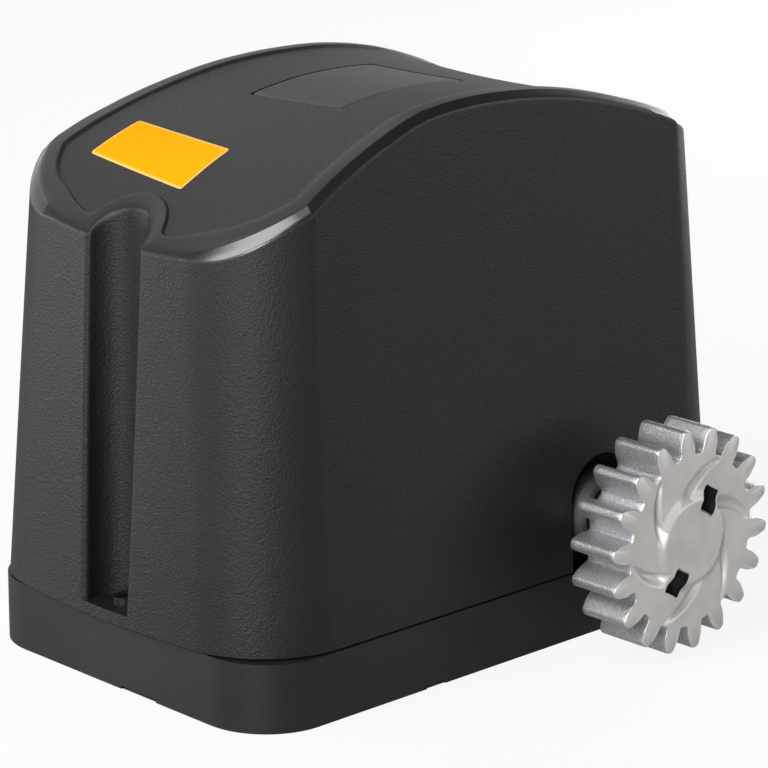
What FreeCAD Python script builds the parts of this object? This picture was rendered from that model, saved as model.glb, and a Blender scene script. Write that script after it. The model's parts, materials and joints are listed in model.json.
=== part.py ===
import FreeCAD, Part
import Sketcher
import math
import os
from FreeCAD import Placement, Rotation, Vector

# Sliding gate motor: a moulded hood over a base tray, a worm gearbox with a
# motor along the tray, and a rack pinion on the output shaft.
# Frame: origin at the centre of the tray's underside, +X along the tray (the
# gate's travel), the pinion faces -Y, +Z up.  Millimetres.

doc = FreeCAD.newDocument("SlidingGateMotor")

# ---------------------------------------------------------------- sizes
SIZES = (
    # base tray
    ("base_length", 238.0), ("base_width", 148.0), ("base_height", 24.0),
    ("base_corner", 25.0), ("base_wall", 4.0), ("base_floor", 4.5),
    ("anchor_span_x", 190.0), ("anchor_span_y", 96.0), ("anchor_slot", 22.0),
    ("anchor_bore", 10.5), ("entry_x", -30.0), ("entry_y", 56.0), ("entry_bore", 20.0),
    ("foot_boss_radius", 8.0), ("foot_boss_height", 5.0), ("drain_length", 9.0),
    ("drain_height", 1.6),
    # hood
    ("cover_wall", 3.0), ("cover_gap", 0.3), ("cover_overhang", 4.6),
    ("cover_corner", 36.0), ("corner_growth", 0.041), ("end_bow", 300.0), ("side_lean", 0.061),
    ("corner_lean", 0.04),
    ("front_lean", 0.051), ("rear_lean", 0.069), ("crown_height", 197.3),
    ("crown_x", -3.5), ("front_arch", 178.0), ("rear_arch", 225.0),
    ("edge_chamfer", 2.8), ("groove_radius_low", 11.0), ("groove_radius_high", 13.6),
    ("groove_inset", 1.5), ("groove_floor", 4.6), ("cover_screw_inset", 4.5),
    ("cover_screw_bore", 4.6), ("shaft_window", 16.0), ("window_rise", 6.0),
    ("key_window", 11.0),
    # badge and label on the hood
    ("badge_x", -11.0), ("badge_y", -4.0), ("badge_length", 57.0), ("badge_width", 46.0),
    ("badge_thick", 0.8), ("badge_gap", 0.15), ("badge_recess", 0.7),
    ("label_end_gap", 36.5), ("label_y", 16.5), ("label_length", 20.5), ("label_width", 50.0),
    ("label_thick", 0.3),
    # output shaft and pinion
    ("shaft_x", 43.5), ("shaft_z", 42.5), ("shaft_radius", 8.5), ("fit", 0.03),
    ("pinion_teeth", 18.0), ("pinion_module", 4.0), ("pinion_width", 20.0),
    ("pinion_gap", 20.0), ("pinion_boss", 16.0), ("pinion_boss_rise", 1.5),
    ("pinion_web_drop", 2.2), ("pinion_bore_depth", 16.0),
    ("collar_radius", 11.5), ("key_width", 5.0), ("key_height", 5.0),
    # worm drive
    ("wheel_teeth", 36.0), ("wheel_module", 1.6), ("wheel_width", 14.0),
    ("wheel_hub", 14.0), ("wheel_hub_length", 22.0), ("drive_y", -20.0),
    ("worm_pitch_radius", 9.2), ("worm_length", 34.0), ("mesh_clearance", 0.45),
    # gearbox
    ("housing_wall", 3.5), ("housing_front", -58.0), ("housing_back", 0.0),
    ("nose_radius", 14.5), ("nose_tip", -76.0), ("seal_radius", 12.0),
    ("seal_width", 6.0), ("big_bearing_radius", 20.0), ("big_bearing_width", 12.0),
    ("small_bearing_radius", 14.0), ("small_bearing_width", 8.0), ("lid_thick", 6.0),
    ("tunnel_radius", 17.5), ("tunnel_end_gap", 23.0), ("flange_x", -3.0),
    ("flange_thick", 6.0), ("foot_thick", 5.5), ("foot_x_low", 2.0),
    ("foot_x_high", 85.0), ("foot_y_low", -52.0), ("foot_y_high", -8.0),
    ("foot_pad", 8.0), ("foot_bolt", 3.0),
    # motor
    ("frame_radius", 44.5), ("frame_wall", 2.5), ("motor_end_gap", 41.0),
    ("stack_length", 44.0), ("rotor_radius", 25.0), ("air_gap", 0.6),
    ("rotor_shaft_radius", 6.0), ("coil_length", 11.0), ("shield_thick", 6.0),
    ("stator_slots", 12.0), ("fin_count", 18.0), ("fin_height", 1.6),
    # capacitor
    ("can_radius", 16.0), ("can_length", 72.0), ("can_x", -76.0), ("strap_width", 12.0),
    ("strap_thick", 1.5), ("saddle_height", 4.0),
    # control board, on a carrier at the back
    ("carrier_y", 38.0), ("carrier_thick", 2.5), ("carrier_x_low", -88.0),
    ("carrier_length", 118.0), ("carrier_top", 150.0), ("carrier_foot", 10.0),
    ("board_length", 112.0), ("board_height", 84.0), ("board_thick", 1.6),
    ("board_low", 62.0), ("standoff", 6.0), ("board_hole_inset", 5.0),
    ("relay_length", 20.0), ("relay_width", 15.0), ("relay_height", 13.0),
    ("terminal_length", 46.0), ("terminal_height", 10.0), ("terminal_depth", 12.0),
    ("core_length", 34.0), ("core_height", 28.0), ("core_depth", 15.0),
    ("button_side", 6.0), ("button_depth", 3.6), ("button_cap", 1.7),
    ("button_stroke", 0.3), ("button_stand", 1.4),
    # limit sensor and release
    ("sensor_x", 96.0), ("sensor_y", -46.0), ("sensor_top", 112.0),
    ("bracket_thick", 2.0), ("bracket_width", 18.0),
    ("release_radius", 7.0), ("release_tip", 62.0), ("release_sleeve", 10.0),
)

# Sizes that follow from the ones above.
TIED = (
    ("frame_length", "=base_length / 2 - motor_end_gap"),
    ("tunnel_end", "=base_length / 2 - tunnel_end_gap"),
    ("label_x", "=label_end_gap - base_length / 2"),
)

sheet = doc.addObject("Spreadsheet::Sheet", "Sizes")
for row, (alias, value) in enumerate(SIZES + TIED, start=1):
    sheet.set("A%d" % row, alias)
    sheet.set("B%d" % row, str(value))
    sheet.setAlias("B%d" % row, alias)
doc.recompute()


class Lookup:
    """Reads the sheet's cells by their alias."""

    def __getattr__(self, alias):
        return float(sheet.get(alias))


size = Lookup()
ALIASES = sorted((alias for alias, _ in SIZES + TIED), key=len, reverse=True)


def formula(text):
    """Turn a formula in plain aliases into one that reads the sheet."""
    out = []
    word = ""
    for letter in str(text) + " ":
        if letter.isalnum() or letter == "_":
            word += letter
            continue
        out.append("Sizes." + word if word in ALIASES else word)
        out.append(letter)
        word = ""
    return "".join(out).strip()


def bind(item, **links):
    """Tie properties of an object to formulas of the sheet."""
    for name, text in links.items():
        item.setExpression(name, formula(text))


def place(item, x=0, y=0, z=0):
    for axis, text in (("x", x), ("y", y), ("z", z)):
        item.setExpression("Placement.Base." + axis, formula(text))


# ---------------------------------------------------------------- solids
TURNS = {
    "z": Rotation(),
    "x": Rotation(Vector(0, 1, 0), 90),
    "-y": Rotation(Vector(1, 0, 0), 90),
    "y": Rotation(Vector(1, 0, 0), -90),
}


def cylinder(name, radius, height, x=0, y=0, z=0, along="z"):
    item = doc.addObject("Part::Cylinder", name)
    item.Placement = Placement(Vector(), TURNS[along])
    bind(item, Radius=radius, Height=height)
    place(item, x, y, z)
    return item


def cone(name, radius_low, radius_high, height, x=0, y=0, z=0, along="z"):
    item = doc.addObject("Part::Cone", name)
    item.Placement = Placement(Vector(), TURNS[along])
    bind(item, Radius1=radius_low, Radius2=radius_high, Height=height)
    place(item, x, y, z)
    return item


def block(name, length, width, height, x=0, y=0, z=0):
    """A box from its low corner."""
    item = doc.addObject("Part::Box", name)
    bind(item, Length=length, Width=width, Height=height)
    place(item, x, y, z)
    return item


def fuse(name, *pieces):
    item = doc.addObject("Part::MultiFuse", name)
    item.Shapes = list(pieces)
    item.Refine = True
    return item


def cut(name, base, *tools):
    item = doc.addObject("Part::Cut", name)
    item.Base = base
    item.Tool = tools[0] if len(tools) == 1 else fuse(name + "_tools", *tools)
    item.Refine = True
    return item


def common(name, *pieces):
    item = doc.addObject("Part::MultiCommon", name)
    item.Shapes = list(pieces)
    return item


def group(name, pieces):
    item = doc.addObject("Part::Compound", name)
    item.Links = list(pieces)
    return item


NODES = []


def node(item, label):
    """Name a finished sub-part and put it on the list to write."""
    item.Label = label
    NODES.append(item)
    return item


# ---------------------------------------------------------------- sketches
def new_body(name):
    return doc.addObject("PartDesign::Body", name)


def sketch_on(body, role, name, offset=None):
    sketch = body.newObject("Sketcher::SketchObject", name)
    plane = [item for item in body.Origin.OriginFeatures if item.Role == role][0]
    sketch.AttachmentSupport = (plane, [""])
    sketch.MapMode = "FlatFace"
    if offset is not None:
        sketch.setExpression("AttachmentOffset.Base.z", formula(offset))
    return sketch


def draw_circle(sketch, radius, x, y, links):
    """A circle; links holds the formulas of its radius and centre."""
    circle = sketch.addGeometry(Part.Circle(Vector(x, y, 0), Vector(0, 0, 1), radius), False)
    for kind, refs, value, link in (
            ("Radius", (circle,), radius, links[0]),
            ("DistanceX", (-1, 1, circle, 3), x, links[1]),
            ("DistanceY", (-1, 1, circle, 3), y, links[2])):
        index = sketch.addConstraint(Sketcher.Constraint(kind, *refs, value))
        sketch.setExpression("Constraints[%d]" % index, formula(link))
    return circle


def draw_box(sketch, low, high, links):
    """A rectangle from low to high; links holds the formulas x0, y0, x1, y1."""
    (x0, y0), (x1, y1) = low, high
    corners = [Vector(x0, y0, 0), Vector(x1, y0, 0), Vector(x1, y1, 0), Vector(x0, y1, 0)]
    first = sketch.GeometryCount
    for k in range(4):
        sketch.addGeometry(Part.LineSegment(corners[k], corners[(k + 1) % 4]), False)
    for k in range(4):
        sketch.addConstraint(Sketcher.Constraint("Coincident", first + k, 2, first + (k + 1) % 4, 1))
        kind = "Horizontal" if k % 2 == 0 else "Vertical"
        sketch.addConstraint(Sketcher.Constraint(kind, first + k))
    for kind, vertex, value, link in (
            ("DistanceX", (first, 1), x0, links[0]), ("DistanceY", (first, 1), y0, links[1]),
            ("DistanceX", (first + 2, 1), x1, links[2]), ("DistanceY", (first + 2, 1), y1, links[3])):
        index = sketch.addConstraint(Sketcher.Constraint(kind, -1, 1, *vertex, value))
        sketch.setExpression("Constraints[%d]" % index, formula(link))


def draw_round_box(sketch, half_x, half_y, radius, links):
    """A rectangle about the origin with round corners; links: half_x, half_y, radius."""
    first = sketch.GeometryCount
    inner_x, inner_y = half_x - radius, half_y - radius
    quarter = math.pi / 2
    spots = ((inner_x, inner_y), (-inner_x, inner_y), (-inner_x, -inner_y), (inner_x, -inner_y))
    for k, (x, y) in enumerate(spots):
        arc = Part.Circle(Vector(x, y, 0), Vector(0, 0, 1), radius)
        sketch.addGeometry(Part.ArcOfCircle(arc, k * quarter, (k + 1) * quarter), False)
    ends = (((inner_x, half_y), (-inner_x, half_y)), ((-half_x, inner_y), (-half_x, -inner_y)),
            ((-inner_x, -half_y), (inner_x, -half_y)), ((half_x, -inner_y), (half_x, inner_y)))
    for (x0, y0), (x1, y1) in ends:
        sketch.addGeometry(Part.LineSegment(Vector(x0, y0, 0), Vector(x1, y1, 0)), False)
    for k in range(4):
        sketch.addConstraint(Sketcher.Constraint("Tangent", first + k, 2, first + 4 + k, 1))
        sketch.addConstraint(Sketcher.Constraint("Tangent", first + 4 + k, 2, first + (k + 1) % 4, 1))
    for k in (1, 2, 3):
        sketch.addConstraint(Sketcher.Constraint("Equal", first, first + k))
    for kind, refs, value, link in (
            ("Radius", (first,), radius, links[2]),
            ("DistanceX", (-1, 1, first + 7, 1), half_x, links[0]),
            ("DistanceY", (-1, 1, first + 4, 1), half_y, links[1]),
            ("DistanceX", (-1, 1, first + 5, 1), -half_x, "-(%s)" % links[0]),
            ("DistanceY", (-1, 1, first + 6, 1), -half_y, "-(%s)" % links[1])):
        index = sketch.addConstraint(Sketcher.Constraint(kind, *refs, value))
        sketch.setExpression("Constraints[%d]" % index, formula(link))


def draw_outline(sketch, points):
    """A closed outline of straight lines."""
    first = sketch.GeometryCount
    count = len(points)
    for k in range(count):
        a, b = points[k], points[(k + 1) % count]
        sketch.addGeometry(Part.LineSegment(Vector(a[0], a[1], 0), Vector(b[0], b[1], 0)), False)
    for k in range(count):
        sketch.addConstraint(Sketcher.Constraint("Coincident", first + k, 2, first + (k + 1) % count, 1))


def pad(body, sketch, name, length, reverse=False, midplane=False):
    item = body.newObject("PartDesign::Pad", name)
    item.Profile = sketch
    item.setExpression("Length", formula(length))
    item.Reversed = reverse
    item.Midplane = midplane
    doc.recompute()
    return item


def pocket(body, sketch, name, depth, reverse=False, midplane=False):
    """Cut a pocket and make sure that it takes something away."""
    before = body.Shape.Volume
    item = body.newObject("PartDesign::Pocket", name)
    item.Profile = sketch
    item.setExpression("Length", formula(depth))
    item.Reversed = reverse
    item.Midplane = midplane
    doc.recompute()
    if body.Shape.Volume > before - 1e-3:
        raise ValueError(name + " takes nothing away")
    return item


def polar(body, feature, name, axis_role, count):
    """Repeat a feature round an axis of the body."""
    item = body.newObject("PartDesign::PolarPattern", name)
    item.Originals = [feature]
    axis = [part for part in body.Origin.OriginFeatures if part.Role == axis_role][0]
    item.Axis = (axis, [""])
    item.Angle = 360
    item.setExpression("Occurrences", formula(count))
    body.Tip = item
    doc.recompute()
    return item


def revolve(body, sketch, name, axis_role):
    item = body.newObject("PartDesign::Revolution", name)
    item.Profile = sketch
    axis = [part for part in body.Origin.OriginFeatures if part.Role == axis_role][0]
    item.ReferenceAxis = (axis, [""])
    item.Angle = 360
    doc.recompute()
    return item


def put(body, turn, x=0, y=0, z=0):
    body.Placement = Placement(Vector(), turn)
    place(body, x, y, z)


# ---------------------------------------------------------------- base tray
tray = new_body("tray")
sketch = sketch_on(tray, "XY_Plane", "tray_plan")
draw_round_box(sketch, size.base_length / 2, size.base_width / 2, size.base_corner,
               ("base_length / 2", "base_width / 2", "base_corner"))
pad(tray, sketch, "tray_block", "base_height")
sketch = sketch_on(tray, "XY_Plane", "tray_inside", "base_floor")
draw_round_box(sketch, size.base_length / 2 - size.base_wall, size.base_width / 2 - size.base_wall,
               size.base_corner - size.base_wall,
               ("base_length / 2 - base_wall", "base_width / 2 - base_wall", "base_corner - base_wall"))
pocket(tray, sketch, "tray_hollow", "base_height", reverse=True)

# Bosses for the two hood screws, merged with the end walls.
cover_screw_x = size.base_length / 2 - size.cover_screw_inset
sketch = sketch_on(tray, "XY_Plane", "screw_boss_plan", "base_floor / 2")
for side, sign in (("", 1), ("-", -1)):
    edge = "base_length / 2 - base_wall / 2"
    deep = "base_length / 2 - 2 * cover_screw_inset - base_wall"
    x_out = size.base_length / 2 - size.base_wall / 2
    x_in = size.base_length / 2 - 2 * size.cover_screw_inset - size.base_wall
    low, high = sorted((sign * x_in, sign * x_out))
    links = (deep, edge) if sign > 0 else ("-(%s)" % edge, "-(%s)" % deep)
    draw_box(sketch, (low, -8.0), (high, 8.0), (links[0], "-foot_boss_radius", links[1], "foot_boss_radius"))
pad(tray, sketch, "screw_bosses", "base_height - base_floor / 2")

# Raised pads that carry the gearbox feet.
sketch = sketch_on(tray, "XY_Plane", "foot_boss_plan", "base_floor / 2")
FEET = [(x, y) for x in ("foot_x_low", "foot_x_high") for y in ("foot_y_low", "foot_y_high")]
for x, y in FEET:
    draw_circle(sketch, size.foot_boss_radius, getattr(size, x), getattr(size, y),
                ("foot_boss_radius", x, y))
pad(tray, sketch, "foot_bosses", "base_floor / 2 + foot_boss_height")

# Anchor slots along X, one at each corner of a rectangle.
slots = []
for k, (side_x, side_y) in enumerate(((1, 1), (-1, 1), (-1, -1), (1, -1))):
    centre_x = "%d * anchor_span_x / 2" % side_x
    centre_y = "%d * anchor_span_y / 2" % side_y
    tall = "base_floor + 2"
    ends = [cylinder("anchor_%d_%d" % (k, end), "anchor_bore / 2", tall,
                     "%s + %d * (anchor_slot - anchor_bore) / 2" % (centre_x, end), centre_y, "-1")
            for end in (-1, 1)]
    middle = block("anchor_%d_middle" % k, "anchor_slot - anchor_bore", "anchor_bore", tall,
                   "%s - (anchor_slot - anchor_bore) / 2" % centre_x,
                   "%s - anchor_bore / 2" % centre_y, "-1")
    slots.append(fuse("anchor_%d" % k, ends[0], ends[1], middle))
entry = cylinder("entry_hole", "entry_bore / 2", "base_floor + 2", "entry_x", "entry_y", "-1")
drains = [block("drain_side", "drain_length", "base_wall + 2", "drain_height",
                "-base_length / 6 - drain_length / 2", "-base_width / 2 - 1", "-1 + 0.5"),
          block("drain_end", "base_wall + 2", "2 * drain_length", "drain_height",
                "-base_length / 2 - 1", "-base_width / 12 - drain_length", "-1 + 0.5")]
screw_holes = [cylinder("cover_thread_%d" % k, "1.9", "base_height",
                        "%d * (base_length / 2 - cover_screw_inset)" % side, 0, "base_floor + 4")
               for k, side in enumerate((-1, 1))]
foot_holes = [cylinder("foot_thread_%d" % k, "foot_bolt", "foot_boss_height + 1", x, y, "base_floor + 0.5")
              for k, (x, y) in enumerate(FEET)]
node(cut("tray_cut", tray, *(slots + [entry] + drains + screw_holes + foot_holes)), "base_tray")

# Rubber grommet in the cable entry, with a groove that grips the floor.
grommet = new_body("grommet")
sketch = sketch_on(grommet, "XZ_Plane", "grommet_section")
bore = size.entry_bore / 2
floor = size.base_floor
draw_outline(sketch, [(bore - 3.5, 0.6), (bore - 0.1, 0.6), (bore - 0.1, floor + 0.1), (bore + 2.5, floor + 0.1),
                      (bore + 1.2, floor + 3.5), (bore - 3.5, floor + 3.5)])
revolve(grommet, sketch, "grommet_ring", "Z_Axis")
put(grommet, Rotation(), "entry_x", "entry_y", 0)
node(grommet, "cable_grommet")


# ---------------------------------------------------------------- hood
def hood_section(body, name, level, inset):
    """Plan of the hood at a level: straight sides, bowed ends, round corners that widen upwards."""
    sketch = sketch_on(body, "XY_Plane", name, level)
    doc.recompute()
    rise = sketch.AttachmentOffset.Base.z - size.base_height - size.cover_gap
    half = size.base_width / 2 - size.corner_lean * rise - inset
    corner = size.cover_corner + size.corner_growth * rise - inset
    bow = size.end_bow - inset
    arcs = []
    for sign, lean in ((1, size.rear_lean), (-1, size.front_lean)):
        tip = size.base_length / 2 + size.cover_overhang - lean * rise - inset
        hub = tip - bow
        reach = math.sqrt((bow - corner) ** 2 - (half - corner) ** 2)
        centre = Vector(sign * (hub + reach), half - corner, 0)
        touch = Vector(sign * hub, 0, 0) + Vector(sign * reach, half - corner, 0) * (bow / (bow - corner))
        middle = Vector(math.cos(math.pi / 4), math.sin(math.pi / 4), 0)
        side_point = centre + Vector(0, corner, 0)
        swing = centre + Vector(sign * middle.x, middle.y, 0) * corner
        arcs.append((sign, side_point, swing, touch, Vector(sign * tip, 0, 0)))
    edges = []
    for sign, side_point, swing, touch, tip in arcs:
        low = [Vector(p.x, -p.y, 0) for p in (side_point, swing, touch)]
        edges.append((Part.Arc(side_point, swing, touch), Part.Arc(touch, tip, low[2]),
                      Part.Arc(low[2], low[1], low[0])))
    right, left = edges
    top = (arcs[1][1], arcs[0][1])
    for item in right:
        sketch.addGeometry(item, False)
    sketch.addGeometry(Part.LineSegment(Vector(top[1].x, -top[1].y, 0), Vector(top[0].x, -top[0].y, 0)), False)
    for item in reversed(left):
        sketch.addGeometry(item, False)
    sketch.addGeometry(Part.LineSegment(top[0], top[1]), False)
    return sketch


def draw_arch(sketch, drop, level):
    """The roof's two arcs, lowered by drop and closed by a straight line at a level."""
    peak = Vector(size.crown_x, size.crown_height - drop, 0)
    ends = []
    for sign, radius in ((-1, size.front_arch), (1, size.rear_arch)):
        radius = radius - drop
        hub = peak - Vector(0, radius, 0)
        spot = [hub + Vector(sign * math.sin(a), math.cos(a), 0) * radius for a in (0.42, 0.84)]
        sketch.addGeometry(Part.Arc(peak, spot[0], spot[1]), False)
        ends.append(spot[1])
    corners = [ends[0], Vector(ends[0].x, level, 0), Vector(ends[1].x, level, 0), ends[1]]
    for a, b in zip(corners, corners[1:]):
        sketch.addGeometry(Part.LineSegment(a, b), False)


def under_arch(name, drop):
    """Everything below the roof's arch, lowered by drop."""
    body = new_body(name)
    sketch = sketch_on(body, "XZ_Plane", name + "_plan")
    draw_arch(sketch, drop, size.base_height)
    pad(body, sketch, name + "_pad", "base_width", midplane=True)
    return body


def hood_block(name, low, high, inset, drop):
    """The hood's outer or inner form: drafted walls under a two-radius arch."""
    body = new_body(name)
    low_plan = hood_section(body, name + "_low", low, inset)
    high_plan = hood_section(body, name + "_high", high, inset)
    loft = body.newObject("PartDesign::AdditiveLoft", name + "_walls")
    loft.Profile = low_plan
    loft.Sections = [high_plan]
    loft.Ruled = True
    doc.recompute()
    sides = sketch_on(body, "YZ_Plane", name + "_sides")
    top = size.crown_height + 40
    foot = size.base_width / 2 - inset
    slope = size.side_lean * (top - size.base_height - size.cover_gap)
    for sign in (-1, 1):
        draw_outline(sides, [(sign * foot, size.base_height + size.cover_gap), (sign * (foot - slope), top),
                             (sign * (foot + 20), top), (sign * (foot + 20), size.base_height - 5),
                             (sign * (foot + 5 * size.side_lean), size.base_height - 5)])
    pocket(body, sides, name + "_faces", "2 * base_length", midplane=True)
    arch = sketch_on(body, "XZ_Plane", name + "_arch")
    draw_arch(arch, drop, size.crown_height + 40)
    pocket(body, arch, name + "_roof", "2 * base_width", midplane=True)
    return body


seat = "base_height + cover_gap"
outer = hood_block("hood_outer", seat, "crown_height + 12", 0.0, 0.0)
inner = hood_block("hood_inner", seat + " - 1", "crown_height + 12", size.cover_wall, size.cover_wall)


def roof_edges(shape):
    """Names of the edges where the drafted walls meet the arched roof."""
    names = []
    for number, edge in enumerate(shape.Edges, start=1):
        box = edge.BoundBox
        if box.ZMin > size.base_height + 60 and box.ZLength < 0.5 * size.crown_height:
            middle = edge.valueAt((edge.FirstParameter + edge.LastParameter) / 2)
            radius = size.front_arch if middle.x < size.crown_x else size.rear_arch
            hub = size.crown_height - radius
            away = math.hypot(middle.x - size.crown_x, middle.z - hub) - radius
            flat = box.YLength < 1e-3 and abs(middle.x - size.crown_x) < 1e-3
            if abs(away) < 0.05 and box.YLength < 1.9 * size.base_width and not flat:
                names.append("Edge%d" % number)
    return names


def is_seam(edge):
    """The line across the roof where its two radii meet."""
    box = edge.BoundBox
    return box.XLength < 1e-3 and box.YLength > size.base_width / 2


arched = outer.Tip
bevel = outer.newObject("PartDesign::Chamfer", "hood_bevel")
names = [name for name in roof_edges(arched.Shape) if not is_seam(arched.Shape.Edges[int(name[4:]) - 1])]
bevel.Base = (arched, names)
bevel.setExpression("Size", formula("edge_chamfer"))
doc.recompute()

# Screwdriver grooves at both ends, each inside a wall of its own.
groove_height = "crown_height - base_height"
groove_walls, groove_cuts, screw_passes = [], [], []
for k, side in enumerate((-1, 1)):
    x = "%d * (base_length / 2 - groove_inset)" % side
    walls = cone("groove_wall_%d" % k, "groove_radius_low + cover_wall", "groove_radius_high + cover_wall",
                 groove_height, x, 0, seat)
    groove_walls.append(common("groove_skin_%d" % k, walls, outer))
    groove_cuts.append(cone("groove_cut_%d" % k, "groove_radius_low", "groove_radius_high", groove_height,
                            x, 0, seat + " + groove_floor"))
    screw_passes.append(cylinder("screw_pass_%d" % k, "cover_screw_bore / 2", "groove_floor + 2",
                                 "%d * (base_length / 2 - cover_screw_inset)" % side, 0, seat + " - 1"))
window_arc = cylinder("window_arc", "shaft_window", "base_width / 2", "shaft_x", "-base_width / 4",
                      "shaft_z + window_rise", along="-y")
window_slot = block("window_slot", "2 * shaft_window", "base_width / 2", "shaft_z + window_rise - base_height",
                    "shaft_x - shaft_window", "-3 * base_width / 4", "base_height")
key_hole = cylinder("key_hole", "key_window", "base_width / 2", "shaft_x", "base_width / 4", "shaft_z", along="y")

# The badge lies in a shallow seat that follows the roof, the label on the roof.
badge_floor = size.badge_recess + size.badge_thick
badge_bed = under_arch("badge_bed", badge_floor)
badge_top = under_arch("badge_top", size.badge_recess)
label_bed = under_arch("label_bed", -0.02)
label_top = under_arch("label_top", -0.02 - size.label_thick)
badge_space = block("badge_space", "badge_length + 2 * badge_gap", "badge_width + 2 * badge_gap", "30",
                    "badge_x - badge_length / 2 - badge_gap", "badge_y - badge_width / 2 - badge_gap",
                    "crown_height - 20")
badge_seat = cut("badge_seat", badge_space, badge_bed)

shell = cut("hood_shell", outer, inner)
walled = fuse("hood_walled", shell, *groove_walls)
tools = groove_cuts + screw_passes + [window_arc, window_slot, key_hole, badge_seat]
node(cut("hood_cut", walled, *tools), "cover_shell")

badge_block = block("badge_block", "badge_length", "badge_width", "30", "badge_x - badge_length / 2",
                    "badge_y - badge_width / 2", "crown_height - 20")
node(cut("badge_cut", common("badge_slab", badge_block, badge_top), badge_bed), "badge_plate")
label_block = block("label_block", "label_length", "label_width", "50", "label_x - label_length / 2",
                    "label_y - label_width / 2", "crown_height - 45")
node(cut("label_cut", common("label_slab", label_block, label_top), label_bed), "blank_label")

# Two captive screws that hold the hood, one in the floor of each groove.
screws = []
for k, side in enumerate((-1, 1)):
    x = "%d * (base_length / 2 - cover_screw_inset)" % side
    top = seat + " + groove_floor"
    head = cylinder("cover_head_%d" % k, "3.6", "2.6", x, 0, top)
    slot = block("cover_slot_%d" % k, "5.6", "1.0", "2", x + " - 2.8", "-0.5", top + " + 1.4")
    cross = block("cover_cross_%d" % k, "1.0", "5.6", "2", x + " - 0.5", "-2.8", top + " + 1.4")
    shank = cylinder("cover_shank_%d" % k, "1.5", "groove_floor + 10", x, 0, top + " - groove_floor - 10")
    screws.append(cut("cover_screw_%d" % k, fuse("cover_blank_%d" % k, head, shank), slot, cross))
node(group("cover_screw_pair", screws), "cover_screws")


# ---------------------------------------------------------------- pinion and output shaft
def tooth_space(radius, teeth, pitch_radius):
    """Half the angle of an involute tooth space at a radius, pressure angle 20 degrees."""
    base = pitch_radius * math.cos(math.radians(20))
    lean = math.acos(min(1.0, base / radius))
    tooth = math.pi / (2 * teeth) + (math.tan(math.radians(20)) - math.radians(20)) - (math.tan(lean) - lean)
    return math.pi / teeth - tooth


teeth = size.pinion_teeth
module = size.pinion_module
pitch = module * teeth / 2
root = pitch - 1.25 * module
tip = pitch + module
pinion = new_body("pinion_body")
sketch = sketch_on(pinion, "XY_Plane", "pinion_disc_plan")
draw_circle(sketch, tip, 0, 0, ("pinion_module * (pinion_teeth + 2) / 2", "0", "0"))
pad(pinion, sketch, "pinion_disc", "pinion_width")
sketch = sketch_on(pinion, "XY_Plane", "tooth_space_plan")
flank = [root, pitch * math.cos(math.radians(20)), (pitch + root) / 2 + 1, pitch, (pitch + tip) / 2, tip + 1]
flank = sorted(flank)
halves = [tooth_space(max(r, pitch * math.cos(math.radians(20))), teeth, pitch) for r in flank]
halves[0] *= 0.55
side = [(r * math.cos(a), r * math.sin(a)) for r, a in zip(flank, halves)]
draw_outline(sketch, side + [(x, -y) for x, y in reversed(side)])
space = pocket(pinion, sketch, "tooth_space_cut", "pinion_width", reverse=True)
polar(pinion, space, "tooth_spaces", "Z_Axis", "pinion_teeth")
web_rim = root - 1.2
sketch = sketch_on(pinion, "XY_Plane", "web_plan", "pinion_width")
for radius, link in ((web_rim, "pinion_module * (pinion_teeth - 2.5) / 2 - 1.2"),
                     (size.pinion_boss, "pinion_boss")):
    draw_circle(sketch, radius, 0, 0, (link, "0", "0"))
pocket(pinion, sketch, "web_recess", "pinion_web_drop")
sketch = sketch_on(pinion, "XY_Plane", "boss_plan", "pinion_width")
draw_circle(sketch, size.pinion_boss, 0, 0, ("pinion_boss", "0", "0"))
pad(pinion, sketch, "boss", "pinion_boss_rise")


def swirl(radius, start, sweep):
    """A point on a spiral that trails by the sweep, in degrees, from the boss to the rim."""
    share = (radius - size.pinion_boss) / (web_rim - size.pinion_boss)
    angle = math.radians(start - sweep * share ** 0.8)
    return Vector(radius * math.cos(angle), radius * math.sin(angle), 0)


sketch = sketch_on(pinion, "XY_Plane", "petal_plan", "pinion_width - pinion_web_drop - 0.5")
inner_r, outer_r = size.pinion_boss - 0.5, web_rim + 0.3
AHEAD, BEHIND = (95.0, 32.0), (59.0, 52.0)
middle_r = (inner_r + outer_r) / 2
ahead = [swirl(max(r, size.pinion_boss), *AHEAD) for r in (inner_r, middle_r, outer_r)]
behind = [swirl(max(r, size.pinion_boss), *BEHIND) for r in (inner_r, middle_r, outer_r)]
ahead[2] = ahead[2] * (outer_r / ahead[2].Length)
behind[2] = behind[2] * (outer_r / behind[2].Length)


def between(a, b, radius):
    middle = (a + b) * 0.5
    return middle * (radius / middle.Length)


sketch.addGeometry(Part.Arc(ahead[0], ahead[1], ahead[2]), False)
sketch.addGeometry(Part.Arc(ahead[2], between(ahead[2], behind[2], outer_r), behind[2]), False)
sketch.addGeometry(Part.Arc(behind[2], behind[1], behind[0]), False)
sketch.addGeometry(Part.Arc(behind[0], between(ahead[0], behind[0], ahead[0].Length), ahead[0]), False)
petal = pad(pinion, sketch, "petal", "0.5 + pinion_web_drop")
polar(pinion, petal, "petals", "Z_Axis", "6")
sketch = sketch_on(pinion, "XY_Plane", "lightening_plan", "pinion_width + pinion_boss_rise")
turn = math.radians(60)
out, across = Vector(math.cos(turn), math.sin(turn), 0), Vector(-math.sin(turn), math.cos(turn), 0)
corners = [out * (15.7 + a * 4.2) + across * (b * 3.7) for a, b in ((-1, -1), (1, -1), (1, 1), (-1, 1))]
draw_outline(sketch, [(p.x, p.y) for p in corners])
window = pocket(pinion, sketch, "lightening_pocket", "pinion_boss_rise + pinion_width - 3")
polar(pinion, window, "lightening_pockets", "Z_Axis", "2")
sketch = sketch_on(pinion, "XY_Plane", "shaft_bore_plan")
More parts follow.
